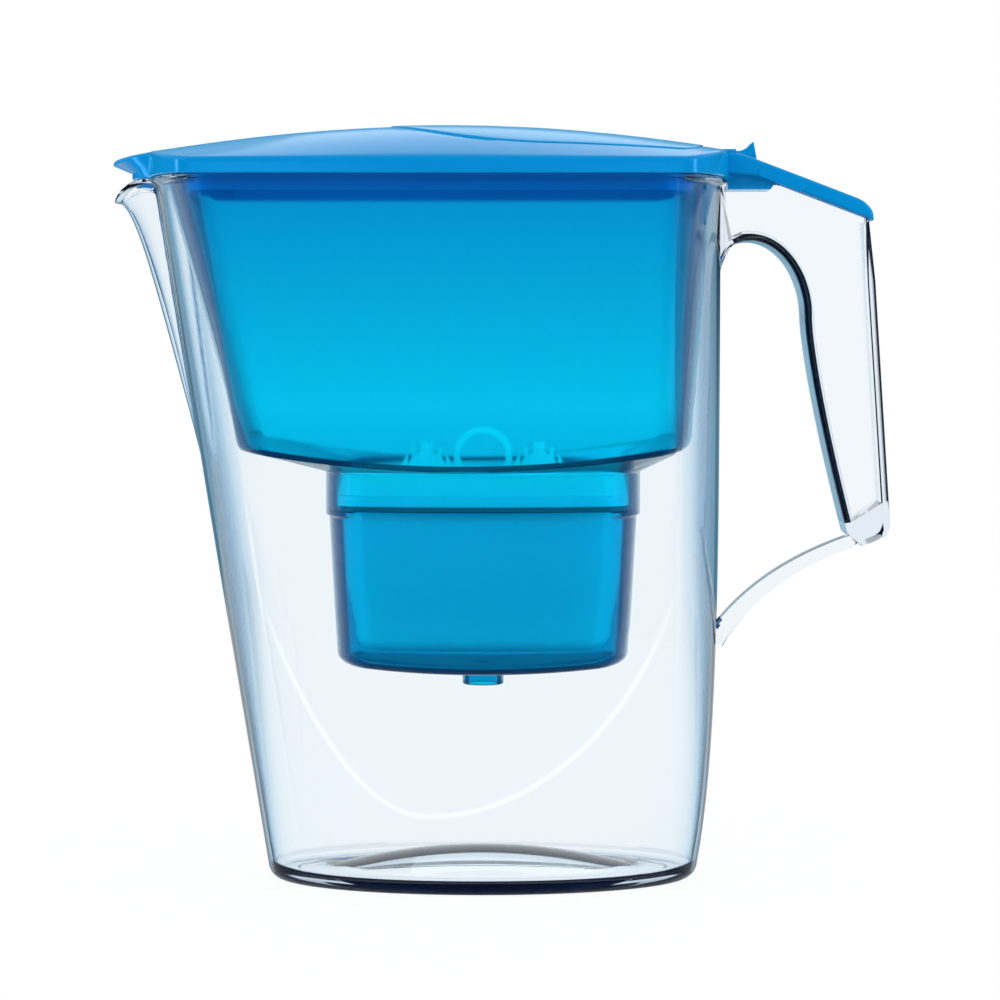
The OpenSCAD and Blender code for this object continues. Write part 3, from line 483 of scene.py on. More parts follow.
def hopperShell():
    # one closed skin: up the outside from the nozzle to the flange, and back down the inside
    t, cupWall, cupR = hopper["wall"], hopper["wall"] + hopper["cupExtra"], hopper["cupR"]
    nozzleEnd, bore = wellZ - hopper["nozzleL"], hopper["nozzleD"] - 2 * hopper["nozzleWall"]
    quarter = np.linspace(0, math.pi / 2, 7)
    outside = [roundZ(nozzleEnd, bore + 1), roundZ(nozzleEnd, hopper["nozzleD"] - 0.8),
               roundZ(nozzleEnd + 0.4, hopper["nozzleD"]), roundZ(wellZ, hopper["nozzleD"])]
    outside += [cupRing(wellZ + cupR * (1 - math.cos(a)), cupR * (1 - math.sin(a))) for a in quarter]
    outside += [cupRing(z, 0) for z in np.linspace(wellZ + 8, ledgeZ - 0.6, 8)]
    outside += [cupRing(ledgeZ, -0.5), collarRing(ledgeZ, 0.5), collarRing(ledgeZ + 0.5, 0)]
    outside += [collarRing(collarZ - 0.6, 0), collarRing(collarZ, -0.4)]
    outside += [hopperRing(1, 2.4), hopperRing(0.998, 1.3), hopperRing(0.99, 0.6), hopperRing(0.978, 0.15)]
    outside += [hopperRing(s, 0) for s in (0.96, 0.8, 0.6, 0.4, 0.2, 0.05)]
    outside += [ring(rimXy(hopperIn), jug["height"]), ring(rimXy(0.3), jug["height"]),
                ring(rimXy(0), jug["height"] + 0.3), ring(rimXy(0), jug["height"] + hopper["flangeT"] - 0.3)]
    top = jug["height"] + hopper["flangeT"]
    inside = [ring(rimXy(0.3), top), ring(rimXy(hopperIn + t - 0.3), top)]
    inside += [ring(rimXy(hopperIn + t), top - 0.3)]
    inside += [hopperRing(s, t) for s in (0.05, 0.2, 0.4, 0.6, 0.8, 0.96)]
    inside += [hopperRing(0.985, 0.4 + t, 0.4 * t), hopperRing(0.998, 1.3 + t, 0.9 * t)]
    inside += [hopperRing(1, 2.4 + t, t)]
    inside += [collarRing(collarZ + t, t - 0.3), collarRing(collarZ + t - 0.5, t)]
    inside += [collarRing(ledgeZ + t + 0.3, t), collarRing(ledgeZ + t, t + 0.3)]
    inside += [cupRing(ledgeZ + t, cupWall - 0.3), cupRing(ledgeZ + t - 0.5, cupWall)]
    inside += [cupRing(z, cupWall) for z in np.linspace(ledgeZ - 4, wellZ + 5, 8)]
    inside += [cupRing(wellZ + t + 3 * (1 - math.cos(a)), cupWall + 2.5 * (1 - math.sin(a)))
               for a in quarter[::-1]]
    inside += [roundZ(wellZ + t, bore + 0.6), roundZ(wellZ + t - 0.3, bore), roundZ(nozzleEnd + 0.3, bore)]
    return lofted("hopperShell", outside + inside, closed=True)


hopperBody = hopperShell()
print("hopper made")


# lid

lid = dict(lip=2.6, thick=1.6, edgeH=5.6, crownH=19.3, crownR=560, crownX=-20, crownFall=2.2, edgeR=1.2,
           plugDepth=4.8, plugGap=0.9, plugT=1.5, beakReach=13, beakW=38, beakFoot=0.48, coverW=28.4,
           coverR=1.3, coverOut=0.4, skirtLift=0.3, barFrom=14.2, barTo=27.2, barR=1.7, barProud=0.35,
           lugIn=1.1, lugW=10)
hatch = dict(length=111, width=84, thick=1.8, proud=0.4, gap=0.5, ledge=2.5, ledgeT=1.6, rearIn=6.2,
             hingeBack=1.3, hingeUp=8.4, barrelD=4.8, pinD=3.4, pinGap=0.06, pinL=4, leverW=15.4,
             leverGap=0.4, leverL=11.2, tabH=5.2, pocketDepth=10.2, pocketL=19, pocketWall=1.4)
axisX = rimRear + hatch["hingeBack"]
axisZ = jug["height"] + hatch["hingeUp"]
lidHalfW = jug["rimW"] / 2 + lid["lip"]
hatchRear = rimRear - hatch["rearIn"]
hatchX = hatchRear - hatch["length"] / 2


def crownZ(xy):
    # height of the lid's crown over points of the plan: a long arc that falls away to both sides
    ridge = jug["height"] + lid["crownH"] - (xy[:, 0] - lid["crownX"]) ** 2 / (2 * lid["crownR"])
    return mix(ridge, jug["height"] + lid["edgeH"], (abs(xy[:, 1]) / lidHalfW) ** lid["crownFall"])


def lidXy(inset, reach=0.0):
    front, rear = rimFront - lid["lip"] + inset, rimRear + lid["lip"] - inset
    y = (lidHalfW - inset) * oblong[:, 1]
    b = np.where(oblong[:, 0] < 0, bow(np.minimum(1, abs(y) / (lid["beakW"] / 2 - inset))), 0)
    return np.column_stack([(front + rear) / 2 + (rear - front) / 2 * oblong[:, 0] - reach * b, y])


def hatchXy(inset):
    # the hatch's plan: half an oval in front and a rounded oblong behind
    p = np.where(oblong[:, :1] < 0, circle, oblong)
    return p * [hatch["length"] / 2 - inset, hatch["width"] / 2 - inset] + [hatchX, 0]


def onCrown(xy, drop):
    return ring(xy, crownZ(xy) - drop)


def lidShell():
    # one closed skin: the skirt, over the crown, the hatch's seat, underneath, the plug and back to the skirt
    reach, thick, edgeR = lid["beakReach"], lid["thick"], lid["edgeR"]
    skirtZ = jug["height"] + lid["skirtLift"]
    opening, ledge = hatchXy(-hatch["gap"]), hatchXy(hatch["ledge"])
    plugIn = hopperIn + hopper["wall"] + lid["plugGap"]
    plugInner, plugOuter = lidXy(lid["lip"] + plugIn + lid["plugT"]), lidXy(lid["lip"] + plugIn)
    ledgeDrop = hatch["thick"] - hatch["proud"] + 0.2
    under = ledgeDrop + hatch["ledgeT"]
    edge = lidXy(edgeR, reach)
    foot, footIn = lidXy(0, reach * lid["beakFoot"]), lidXy(thick, reach * lid["beakFoot"])
    plugZ = jug["height"] - lid["plugDepth"]
    share = lid["plugDepth"] / hopper["depth"]
    plugFoot = hopperRing(share, hopper["wall"] + lid["plugGap"])[:, :2]
    plugFootIn = hopperRing(share, hopper["wall"] + lid["plugGap"] + lid["plugT"])[:, :2]
    rings = [ring(mix(footIn, foot, 0.8), skirtZ), ring(foot, skirtZ + 0.3), ring(foot, skirtZ + 2.2)]
    rings += [onCrown(lidXy(0, reach), 1.6)]
    rings += [onCrown(lidXy(edgeR * (1 - math.cos(a)), reach), edgeR * (1 - math.sin(a)))
              for a in np.linspace(0.2, math.pi / 2, 6)]
    rings += [onCrown(mix(edge, opening, s), 0) for s in (0.15, 0.3, 0.45, 0.6, 0.75, 0.9, 0.99)]
    rings += [onCrown(opening, 0.15), onCrown(opening, ledgeDrop)]
    rings += [onCrown(ledge, ledgeDrop), onCrown(ledge, under)]
    rings += [onCrown(mix(ledge, plugInner, 0.12), under), onCrown(mix(ledge, plugInner, 0.18), thick)]
    rings += [onCrown(mix(ledge, plugInner, s), thick) for s in (0.4, 0.6, 0.8)]
    rings += [onCrown(plugInner, thick), ring(plugFootIn, plugZ), ring(plugFoot, plugZ)]
    rings += [onCrown(plugOuter, thick)]
    rings += [onCrown(lidXy(thick, reach - 1), thick + 1), ring(footIn, skirtZ + 2.2), ring(footIn, skirtZ)]
    return lofted("lidShell", rings, closed=True)


def above(points):
    return [(rimRear + x, jug["height"] + z) for x, z in points]


# the handle's cover, seen from the side: [distance behind the rim, height over it]
coverEnd = handle["topOut"] + lid["coverOut"]
coverTop = [(1.2, 9.6), (4, 9.5), (6.3, 9.2), (9.4, 8.3), (12.5, 7.1), (30, 0.45), (coverEnd - 5.7, -6.3),
            (coverEnd - 3.4, -7.5), (coverEnd - 1.6, -9.2), (coverEnd - 0.5, -10.7), (coverEnd - 0.1, -12),
            (coverEnd, -14.2)]
coverHollow = [(0.7, 9.6 - 1.8 * lid["thick"]), (6, 9.2 - 1.8 * lid["thick"]),
               (12.5, 7.1 - 1.2 * lid["thick"]), (coverEnd - 5.7, -6.3 - 1.2 * lid["thick"]),
               (coverEnd - 1.3, -12), (coverEnd - 1.3, -25), (0.7, -3)]
kneeX, kneeZ = axisX - 0.3, axisZ - 4.6
pocketFront, pocketEnd = axisX + 2.2, axisX + hatch["pocketL"]
pocketZ, pocketWall = axisZ - hatch["pocketDepth"], hatch["pocketWall"]
barrelFloor = axisZ - hatch["barrelD"] / 2 - 0.4
leverRoom = hatch["leverW"] + 2 * hatch["leverGap"]
slotEnd = axisX + hatch["leverL"] + 0.7


def sideBar(side):
    # raised bar along the lower edge of the handle cover
    radius = lid["barR"]
    low = [(rimRear + x, coverLow(x) + radius) for x in (lid["barFrom"], lid["barTo"])]
    lean = math.atan2(low[1][1] - low[0][1], low[1][0] - low[0][0])
    outline = [(x + radius * math.cos(lean + a), z + radius * math.sin(lean + a))
               for (x, z), start in zip(low, (math.pi / 2, -math.pi / 2))
               for a in np.linspace(start, start + math.pi, 13)]
    return prism(f"sideBar{side}", outline, lid["thick"], roundOff=0.25, steps=3,
                 y=side * (lid["coverW"] / 2 + lid["barProud"] - lid["thick"] / 2))


def lug():
    # tongue under the beak, which drops into the spout
    top, x = jug["height"], rimFront - lid["lugIn"]
    left = x - 6.7
    ceiling = [float(crownZ(np.array([[at, 0.0]]))[0]) - lid["thick"] / 2 for at in (x, left)]
    return prism("lug", [(x, ceiling[0]), (x, top - 1.3), (x - 0.5, top - 1.8), (x - 2, top - 1.6),
                         (x - 3, top - 0.7), (x - 5.7, top - 0.4), (left, top + 1.3), (left, ceiling[1])],
                 lid["lugW"], roundOff=0.3, steps=2)


def lidWhole():
    top = jug["height"]
    lowEdge = [(rimRear + handle["knee"], top + handle["lowH"]), (rimRear + 1.2, coverLow(1.2))]
    cover = prism("cover", above(coverTop) + lowEdge, lid["coverW"], roundOff=lid["coverR"])
    hollow = prism("coverHollow", above(coverHollow), lid["coverW"] - 2 * lid["thick"])
    pocket = prism("pocket", [
        (pocketFront - pocketWall, pocketZ - pocketWall), (pocketEnd - 3, pocketZ - pocketWall),
        (pocketEnd, pocketZ + 2), (pocketEnd, top + 2.9), (pocketFront + 4, axisZ - 1),
        (kneeX - pocketWall, axisZ - 1), (kneeX - pocketWall, kneeZ - pocketWall),
        (pocketFront - pocketWall, kneeZ - pocketWall)], leverRoom + 2 * pocketWall)
    room = prism("pocketRoom", [
        (hatchRear - 3.5, axisZ + 12), (hatchRear - 3.5, barrelFloor), (kneeX, barrelFloor), (kneeX, kneeZ),
        (pocketFront, kneeZ - 1.8), (pocketFront, pocketZ), (pocketEnd - pocketWall - 3, pocketZ),
        (pocketEnd - pocketWall, pocketZ + 2), (pocketEnd - pocketWall, top + 1.4), (slotEnd, top + 4.2),
        (slotEnd, axisZ + 12)], leverRoom)
    earLow, earHigh = top + hopper["flangeT"] + 0.7, axisZ + hatch["barrelD"] / 2
    earT = hatch["pinL"] + 1
    earSide = [(axisX - 3.5, earLow), (axisX + 3.5, earLow), (axisX + 3.5, earHigh), (axisX - 3.5, earHigh)]
    ears = [prism(f"ear{side}", earSide, earT + 0.2, y=side * (leverRoom / 2 + earT / 2 - 0.1))
            for side in (-1, 1)]
    bore = barrel("bore", axisX, axisZ, hatch["pinD"] + 2 * hatch["pinGap"],
                  leverRoom + 2 * hatch["pinL"] + 0.8)
    steps = [("UNION", cover), ("DIFFERENCE", hollow), ("UNION", ears[0]), ("UNION", ears[1]),
             ("UNION", pocket)]
    steps += [("UNION", sideBar(side)) for side in (-1, 1)] + [("UNION", lug())]
    return combined(lidShell(), steps + [("DIFFERENCE", room), ("DIFFERENCE", bore)])


lidBody = lidWhole()
print("lid made:", len(lidBody.data.polygons), "faces")


# fill hatch

def hatchWhole():
    # the plate follows the lid's crown; its lever and pins turn in the lid's ears
    low = hatch["thick"] - hatch["proud"]
    middle = np.array([hatchX, 0])
    shares = (0.08, 0.25, 0.45, 0.65, 0.8, 0.92)

    def level(share, inset, drop):
        return onCrown(mix(middle, hatchXy(inset), share), drop)

    rings = [level(s, 0.8, low) for s in shares] + [level(1, 0.8, low), level(1, 0, 0.2)]
    rings += [level(1, 0.55 * (1 - math.cos(a)), 0.2 - (0.2 + hatch["proud"]) * math.sin(a))
              for a in np.linspace(0.3, math.pi / 2, 5)]
    rings += [level(s, 0.55, -hatch["proud"]) for s in shares[::-1]]
    plate = lofted("hatchPlate", rings)
    footX, footZ = hatch["leverL"] * 0.4, hatch["barrelD"] / 2 - 0.3
    tipX, tipZ = hatch["leverL"] * 0.87, hatch["tabH"]
    curl = [(mix(footX, tipX, t), mix(footZ, tipZ, t * t)) for t in np.linspace(0, 1, 10)]
    rearEnd = hatchRear - axisX - 2.5
    side = [(rearEnd, 2), (rearEnd, 2.9), (0, hatch["barrelD"] / 2 - 0.2)] + curl
    side += [(tipX + 0.4, tipZ), (hatch["leverL"], -0.6), (hatch["leverL"] - 0.8, -1.4),
             (0, -hatch["barrelD"] / 2 + 0.8), (-3, 0.4)]
    lever = prism("lever", [(axisX + x, axisZ + z) for x, z in side], hatch["leverW"], roundOff=0.35, steps=2)
    return combined(plate, [
        ("UNION", lever),
        ("UNION", barrel("barrel", axisX, axisZ, hatch["barrelD"], hatch["leverW"])),
        ("UNION", barrel("pins", axisX, axisZ, hatch["pinD"], hatch["leverW"] + 2 * hatch["pinL"]))])


hatchBody = hatchWhole()
print("fill hatch made")


# cartridge

cartridge = dict(gap=0.6, seatW=2.4, seatT=2, sealT=1.6, wall=1.6, depth=51, taper=4, roundR=5, outletD=9,
                 capH=11, capWall=1.5, gripD=21, gripHoleD=16.4, gripT=4, gripSunk=7, inletX=20, inletD=19,
                 slotW=1.6, slotPitch=3, slotL=11.6, topRound=9.6)
seatZ = ledgeZ + hopper["wall"] + 0.2 + cartridge["sealT"]
seatIn = hopper["wall"] + cartridge["gap"]
caseIn = seatIn + cartridge["seatW"]
caseZ = seatZ - cartridge["depth"]
capZ = seatZ + cartridge["seatT"]


def caseRing(z, inset):
    narrow = np.interp((seatZ - z) / cartridge["depth"], [0, 0.5, 0.85, 1], [0, 0.3, 1, 1.1])
    return collarRing(z, caseIn + cartridge["taper"] * narrow + inset)


def cartridgeCase():
    t, r = cartridge["wall"], cartridge["roundR"]
    quarter = np.linspace(0, math.pi / 2, 7)
    mids = [mix(caseZ, seatZ, s) for s in (0.15, 0.3, 0.5, 0.75, 0.97)]
    rings = [roundZ(caseZ, cartridge["outletD"])]
    rings += [caseRing(caseZ + r * (1 - math.cos(a)), r * (1 - math.sin(a))) for a in quarter]
    rings += [caseRing(z, 0) for z in mids] + [caseRing(seatZ - 0.4, 0), caseRing(seatZ, -0.4)]
    rings += [collarRing(seatZ, seatIn + 0.3), collarRing(seatZ + 0.3, seatIn)]
    rings += [collarRing(capZ - 0.3, seatIn), collarRing(capZ, seatIn + 0.3), caseRing(capZ, t)]
    rings += [caseRing(z, t) for z in mids[::-1]]
    rings += [caseRing(caseZ + t + (r - t) * (1 - math.cos(a)), t + r * (1 - math.sin(a)))
              for a in quarter[::-1]]
    rings += [roundZ(caseZ + t, cartridge["outletD"])]
    return lofted("cartridgeCase", rings, closed=True)


def cartridgeTop():
    top, t = capZ + cartridge["capH"], cartridge["capWall"]
    sideZ = top - 3
    shares = np.linspace(0, math.pi / 2, 7)
    rings = [collarRing(sideZ, caseIn + 3 * t), collarRing(sideZ - 2, caseIn + 2 * t)]
    rings += [collarRing(capZ, caseIn + t), collarRing(capZ, seatIn + 0.3)]
    rings += [collarRing(capZ + 1.5, seatIn + 0.3), collarRing(capZ + 2, seatIn + 1.2)]
    lipIn, topRound = seatIn + cartridge["seatW"], cartridge["topRound"]
    rings += [collarRing(mix(sideZ, top, math.sin(a)), lipIn + topRound * (1 - math.cos(a))) for a in shares]
    cap = lofted("cartridgeTop", rings)
    gripZ = top + cartridge["gripD"] / 2 - cartridge["gripSunk"]
    grip = barrel("grip", wellX, gripZ, cartridge["gripD"], cartridge["gripT"])
    hole = barrel("gripHole", wellX, gripZ, cartridge["gripHoleD"], cartridge["gripT"] + 2)
    steps = [("UNION", combined(grip, [("DIFFERENCE", hole)]))]
    for side in (-1, 1):  # a stepped inlet on each side of the grip, with a post in its middle
        x, wide = wellX + side * cartridge["inletX"], cartridge["inletD"]
        dome = lofted(f"dome{side}", [roundZ(top - 0.5, wide, x), roundZ(top + 3, wide - 4, x),
                                      roundZ(top + 6, wide - 8, x)])
        post = lofted(f"post{side}", [roundZ(top, 4, x), roundZ(top + 8.1, 4, x), roundZ(top + 8.5, 3.2, x)])
        steps += [("UNION", dome), ("UNION", post)]
    halfW = cartridge["slotW"] / 2
    for side in (-1, 1):
        for k in (-2, -1, 1, 2):
            x = wellX + side * cartridge["inletX"] + cartridge["slotPitch"] * k
            outline = [(x - halfW, top - 4), (x + halfW, top - 4), (x + halfW, top + 9), (x - halfW, top + 9)]
            steps.append(("DIFFERENCE", prism(f"slot{side}{k}", outline, cartridge["slotL"])))
    return combined(cap, steps)


caseBody = cartridgeCase()
capBody = cartridgeTop()
print("cartridge made")


# materials

def linear(hexColour):
    # an sRGB hex value as linear light
    parts = [int(hexColour[i:i + 2], 16) / 255 for i in (1, 3, 5)]
    return [c / 12.92 if c <= 0.04045 else ((c + 0.055) / 1.055) ** 2.4 for c in parts] + [1.0]


def addNode(tree, kind, inputs=None, links=None, **settings):
    # sockets go by name or number: a colour mix has its share at 0 and its two colours at 6 and 7
    node = tree.nodes.new(kind)
    for name, value in settings.items():
        setattr(node, name, value)
    for name, value in (inputs or {}).items():
        node.inputs[name].default_value = value
    for name, socket in (links or {}).items():
        tree.links.new(socket, node.inputs[name])
    return node


def newMaterial(name, **inputs):
    made = bpy.data.materials.new(name)
    made.use_nodes = True
    shader = made.node_tree.nodes["Principled BSDF"]
    for key, value in inputs.items():
        shader.inputs[key.replace("_", " ")].default_value = value
    return made, made.node_tree, shader


def feed(tree, shader, **sources):
    for name, source in sources.items():
        tree.links.new(source.outputs[0], shader.inputs[name.replace("_", " ")])


def inMm(tree, kind, sizeMm, inputs=None, **settings):
    # any texture, on the object's own coordinates, with its cells sizeMm across
    place = addNode(tree, "ShaderNodeTexCoord")
    return addNode(tree, kind, {"Scale": 1000 / sizeMm, **(inputs or {})},
                   {"Vector": place.outputs["Object"]}, **settings)


def setRamp(node, stops):
    ramp = node.color_ramp
    while len(ramp.elements) > 1:
        ramp.elements.remove(ramp.elements[-1])
    ramp.elements[0].position, ramp.elements[0].color = stops[0][0], linear(stops[0][1])
    for place, colour in stops[1:]:
        ramp.elements.new(place).color = linear(colour)


sanIor = 1.3  # under SAN's own 1.57, so that a wall bends less what is seen through it


def paintedDarkEdges(tree, shader, stops):
    # painted shade: where the eye looks along a wall the plastic stops passing light and shows its base
    # colour, a painted dark edge in place of light turned back inside the plastic
    edge = addNode(tree, "ShaderNodeFresnel", {"IOR": sanIor})
    clear = addNode(tree, "ShaderNodeValToRGB", links={"Fac": edge.outputs[0]})
    setRamp(clear, stops)
    feed(tree, shader, Transmission_Weight=clear)
    return edge


# painted highlight: a glowing line along each panel's lower edge, on the wall's outer face, fading toward its
# upper ends, standing in for the light the crease would catch
crease = dict(width=0.7, glow=0.13, skin=0.6, leastOut=30, fadeH=30, below=3)


def clearSan(name, stops, tintsAndEdgeShade):
    # polished styrene acrylonitrile: water clear with its own pale tint, and a painted dark navy edge where
    # the eye looks along a wall
    made, tree, shader = newMaterial(name, Roughness=0.0, IOR=sanIor, Specular_IOR_Level=0.1,
                                     Specular_Tint=linear("#607a8e"))
    edge = paintedDarkEdges(tree, shader, stops)
    tintAndEdgeShade = addNode(tree, "ShaderNodeValToRGB", links={"Fac": edge.outputs[0]})
    setRamp(tintAndEdgeShade, tintsAndEdgeShade)
    feed(tree, shader, Base_Color=tintAndEdgeShade)
    depth = addNode(tree, "ShaderNodeVolumeAbsorption", {"Color": linear("#7fb2d8"), "Density": 10.0})
    feed(tree, tree.nodes["Material Output"], Volume=depth)
    return made


def creaseHighlightSan():
    # the jug's plastic, with a painted highlight along its panel crease: a faint glow in the outer face in
    # place of light caught by the crease
    # the tints run from the plastic's own pale tint, where it is seen straight on, to painted navy edge shade
    # at grazing views
    stops = [(0.14, "#ffffff"), (0.34, "#000000"), (0.97, "#000000"), (0.995, "#ffffff")]
    tintsAndEdgeShade = [(0.0, "#fbfdfe"), (0.08, "#eaf4fa"), (0.25, "#a0cce6"), (0.45, "#0b1730")]
    made = clearSan("clearSan", stops, tintsAndEdgeShade)
    tree, shader = made.node_tree, made.node_tree.nodes["Principled BSDF"]
    side = addNode(tree, "ShaderNodeNewGeometry")
    # the glow is a painted highlight, on the outer face only, weighted by the highlight's point attribute
    out = addNode(tree, "ShaderNodeMapRange", {"To Min": crease["glow"], "To Max": 0.0},
                  {"Value": side.outputs["Backfacing"]})
    highlightLine = addNode(tree, "ShaderNodeAttribute", attribute_name="crease")
    glow = addNode(tree, "ShaderNodeMath", links={0: out.outputs[0], 1: highlightLine.outputs["Fac"]},
                   operation="MULTIPLY")
    shader.inputs["Emission Color"].default_value = linear("#ffffff")
    feed(tree, shader, Emission_Strength=glow)
    return made


def tintedSan():
    # dyed SAN, polished: deep cyan dye, with painted shade that darkens it toward the top of the hopper and
    # leaves it brightest low down, and a painted dark teal along its edges
    made, tree, shader = newMaterial("tintedSan", Roughness=0.12, IOR=1.25, Specular_IOR_Level=0.1,
                                     Specular_Tint=linear("#009cd0"))
    edge = paintedDarkEdges(tree, shader, [(0.3, "#ffffff"), (0.8, "#000000")])
    place = addNode(tree, "ShaderNodeNewGeometry")
    split = addNode(tree, "ShaderNodeSeparateXYZ", links={"Vector": place.outputs["Position"]})
    height = addNode(tree, "ShaderNodeMapRange", {"From Min": 0.07, "From Max": 0.25},
                     {"Value": split.outputs["Z"]})
    # cyan dye with painted shade by height: the ramp runs darker toward the top and brightest low in the
    # hopper
    dyeAndHeightShade = addNode(tree, "ShaderNodeValToRGB", links={"Fac": height.outputs[0]})
    setRamp(dyeAndHeightShade, [(0.0, "#04c4e2"), (0.33, "#04c1e6"), (0.41, "#04ddf4"), (0.55, "#04e5f8"), (0.8, "#04d4ee"),
                  (1.0, "#04c4ea")])
    # painted edge shade: grazing views are mixed toward a dark teal
    share = addNode(tree, "ShaderNodeMapRange", {"From Min": 0.2, "From Max": 0.8},
                    {"Value": edge.outputs[0]})
    tintAndEdgeShade = addNode(tree, "ShaderNodeMix", {7: linear("#04648c")}, {0: share.outputs[0], 6: dyeAndHeightShade.outputs[0]},
                   data_type="RGBA")
    tree.links.new(tintAndEdgeShade.outputs[2], shader.inputs["Base Color"])
    depth = addNode(tree, "ShaderNodeVolumeAbsorption", {"Color": linear("#20b4e8"), "Density": 40.0})
    feed(tree, tree.nodes["Material Output"], Volume=depth)
    return made


def glossAbs(name, colour, pullMm=40):
    # gloss ABS from a polished mould: even colour, soft broad highlights, a faint pull in the surface
    made, tree, shader = newMaterial(name, Roughness=0.16, IOR=1.53, Base_Color=linear(colour),
                                     Specular_Tint=linear("#2c9ce0"), Sheen_Weight=0.35,
                                     Sheen_Roughness=0.4, Sheen_Tint=linear("#00c4ff"))
    pull = inMm(tree, "ShaderNodeTexNoise", pullMm, {"Detail": 1.0})
    bump = addNode(tree, "ShaderNodeBump", {"Strength": 0.05, "Distance": 0.0004},
                   {"Height": pull.outputs[0]})
    feed(tree, shader, Normal=bump)
    return made


def mouldedPp(name, colour, grainMm=3):
    # natural polypropylene, moulded: milky, slightly waxy, with a soft grain
    made, tree, shader = newMaterial(name, Roughness=0.4, IOR=1.49, Base_Color=linear(colour),
                                     Subsurface_Weight=0.25, Subsurface_Scale=0.003)
    grain = inMm(tree, "ShaderNodeTexNoise", grainMm, {"Detail": 3.0})
    bump = addNode(tree, "ShaderNodeBump", {"Strength": 0.12, "Distance": 0.0002},
                   {"Height": grain.outputs[0]})
    feed(tree, shader, Normal=bump)
    return made


def granules(name, darkest, lightest, sizeMm):
    # loose grains packed in a bed: each one its own shade, with gaps between them
    made, tree, shader = newMaterial(name, Roughness=0.6)
    cells = inMm(tree, "ShaderNodeTexVoronoi", sizeMm)
    shade = addNode(tree, "ShaderNodeValToRGB", links={"Fac": cells.outputs["Color"]})
    setRamp(shade, [(0.0, darkest), (1.0, lightest)])
    bump = addNode(tree, "ShaderNodeBump", {"Strength": 0.8, "Distance": 0.0004},
                   {"Height": cells.outputs["Distance"]}, invert=True)
    feed(tree, shader, Base_Color=shade, Normal=bump)
    return made


def needledFelt(tuftMm=0.8):
    # needled polyester felt: white, matt, with tangled fibres
    made, tree, shader = newMaterial("needledFelt", Roughness=0.9, Sheen_Weight=0.3)
    fibres = inMm(tree, "ShaderNodeTexNoise", tuftMm, {"Detail": 6.0, "Distortion": 1.5})
    shade = addNode(tree, "ShaderNodeValToRGB", links={"Fac": fibres.outputs[0]})
    setRamp(shade, [(0.3, "#d9dad6"), (0.7, "#f4f4f0")])
    bump = addNode(tree, "ShaderNodeBump", {"Strength": 0.5, "Distance": 0.0003},
                   {"Height": fibres.outputs[0]})
    feed(tree, shader, Base_Color=shade, Normal=bump)
    return made


def wovenScreen(pitchMm=1.2):
    # woven polyester monofilament: crossed pale threads; its 0.6 mm pitch is drawn at 1.2 mm so that it shows
    made, tree, shader = newMaterial("wovenScreen", Roughness=0.55)
    waves = [inMm(tree, "ShaderNodeTexWave", pitchMm * math.pi, bands_direction=axis) for axis in ("X", "Y")]
    weave = addNode(tree, "ShaderNodeMath", links={0: waves[0].outputs["Fac"], 1: waves[1].outputs["Fac"]},
                    operation="MAXIMUM")
    shade = addNode(tree, "ShaderNodeValToRGB", links={"Fac": weave.outputs[0]})
    setRamp(shade, [(0.3, "#9aa0a2"), (0.8, "#eef0f0")])
    bump = addNode(tree, "ShaderNodeBump", {"Strength": 0.6, "Distance": 0.0003},
                   {"Height": weave.outputs[0]})
    feed(tree, shader, Base_Color=shade, Normal=bump)
    return made


def softTpe(bloomMm=2):
    # moulded grey thermoplastic rubber: matt, with a slightly uneven bloom
    made, tree, shader = newMaterial("softTpe", Roughness=0.7, Base_Color=linear("#8a8f92"))
    bloom = inMm(tree, "ShaderNodeTexNoise", bloomMm)
    rough = addNode(tree, "ShaderNodeMapRange", {"To Min": 0.6, "To Max": 0.8}, {"Value": bloom.outputs[0]})
    feed(tree, shader, Roughness=rough)
    return made


def dress(piece, name, body, nodes, material):
    piece.name = name
    piece.data.materials.clear()
    piece.data.materials.append(material)
    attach(piece, body)
    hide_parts(*nodes)


def creaseHighlightAt(x, y, z):
    # strength of the painted crease highlight: 1 on the panel's lower edge, on the outer face of either side,
    # and 0 away from it
    if not jug["panelLow"] - crease["below"] < z < jug["panelHigh"] or abs(y) < crease["leastOut"]:
        return 0.0
    row = wallRing(z, 0)
    side = row[:, 1] * y > 0
    order = np.argsort(row[side, 0])
    along, out, u = row[side, 0][order], abs(row[side, 1])[order], oblong[side, 0][order]
    if abs(y) < np.interp(x, along, out) - crease["skin"]:
        return 0.0
    edge = panelEdge(np.interp(x + np.array([-0.5, 0.5]), along, u))
    away = (z - edge.mean()) / math.hypot(1, edge[1] - edge[0])
    return math.exp(-(away / crease["width"]) ** 2) * min(1, (jug["panelHigh"] - z) / crease["fadeH"])


thick = dict(footH=4, floorH=12, level=0.6, handleLow=20, rimDrop=2, wallClear=1.5)


def isThick(face):
    # faces of the floor and its foot ring, and of the handle and strut behind the wall
    x, z = face.center.x / mm, face.center.z / mm
    level = abs(face.normal.z) > thick["level"]
    onFloor = z < thick["footH"] or (z < thick["floorH"] and level)
    onHandle = thick["handleLow"] < z < jug["height"] - thick["rimDrop"] and x > rearX(z) + thick["wallClear"]
    return onFloor or onHandle


# each point's weight in the painted crease highlight, which the jug material's glow reads
highlightLine = jugBody.data.attributes.new("crease", "FLOAT", "POINT")
highlightLine.data.foreach_set("value", [creaseHighlightAt(*(v.co / mm)) for v in jugBody.data.vertices])
dress(jugBody, "jugBody", "jug", ["jug", "handle"], creaseHighlightSan())
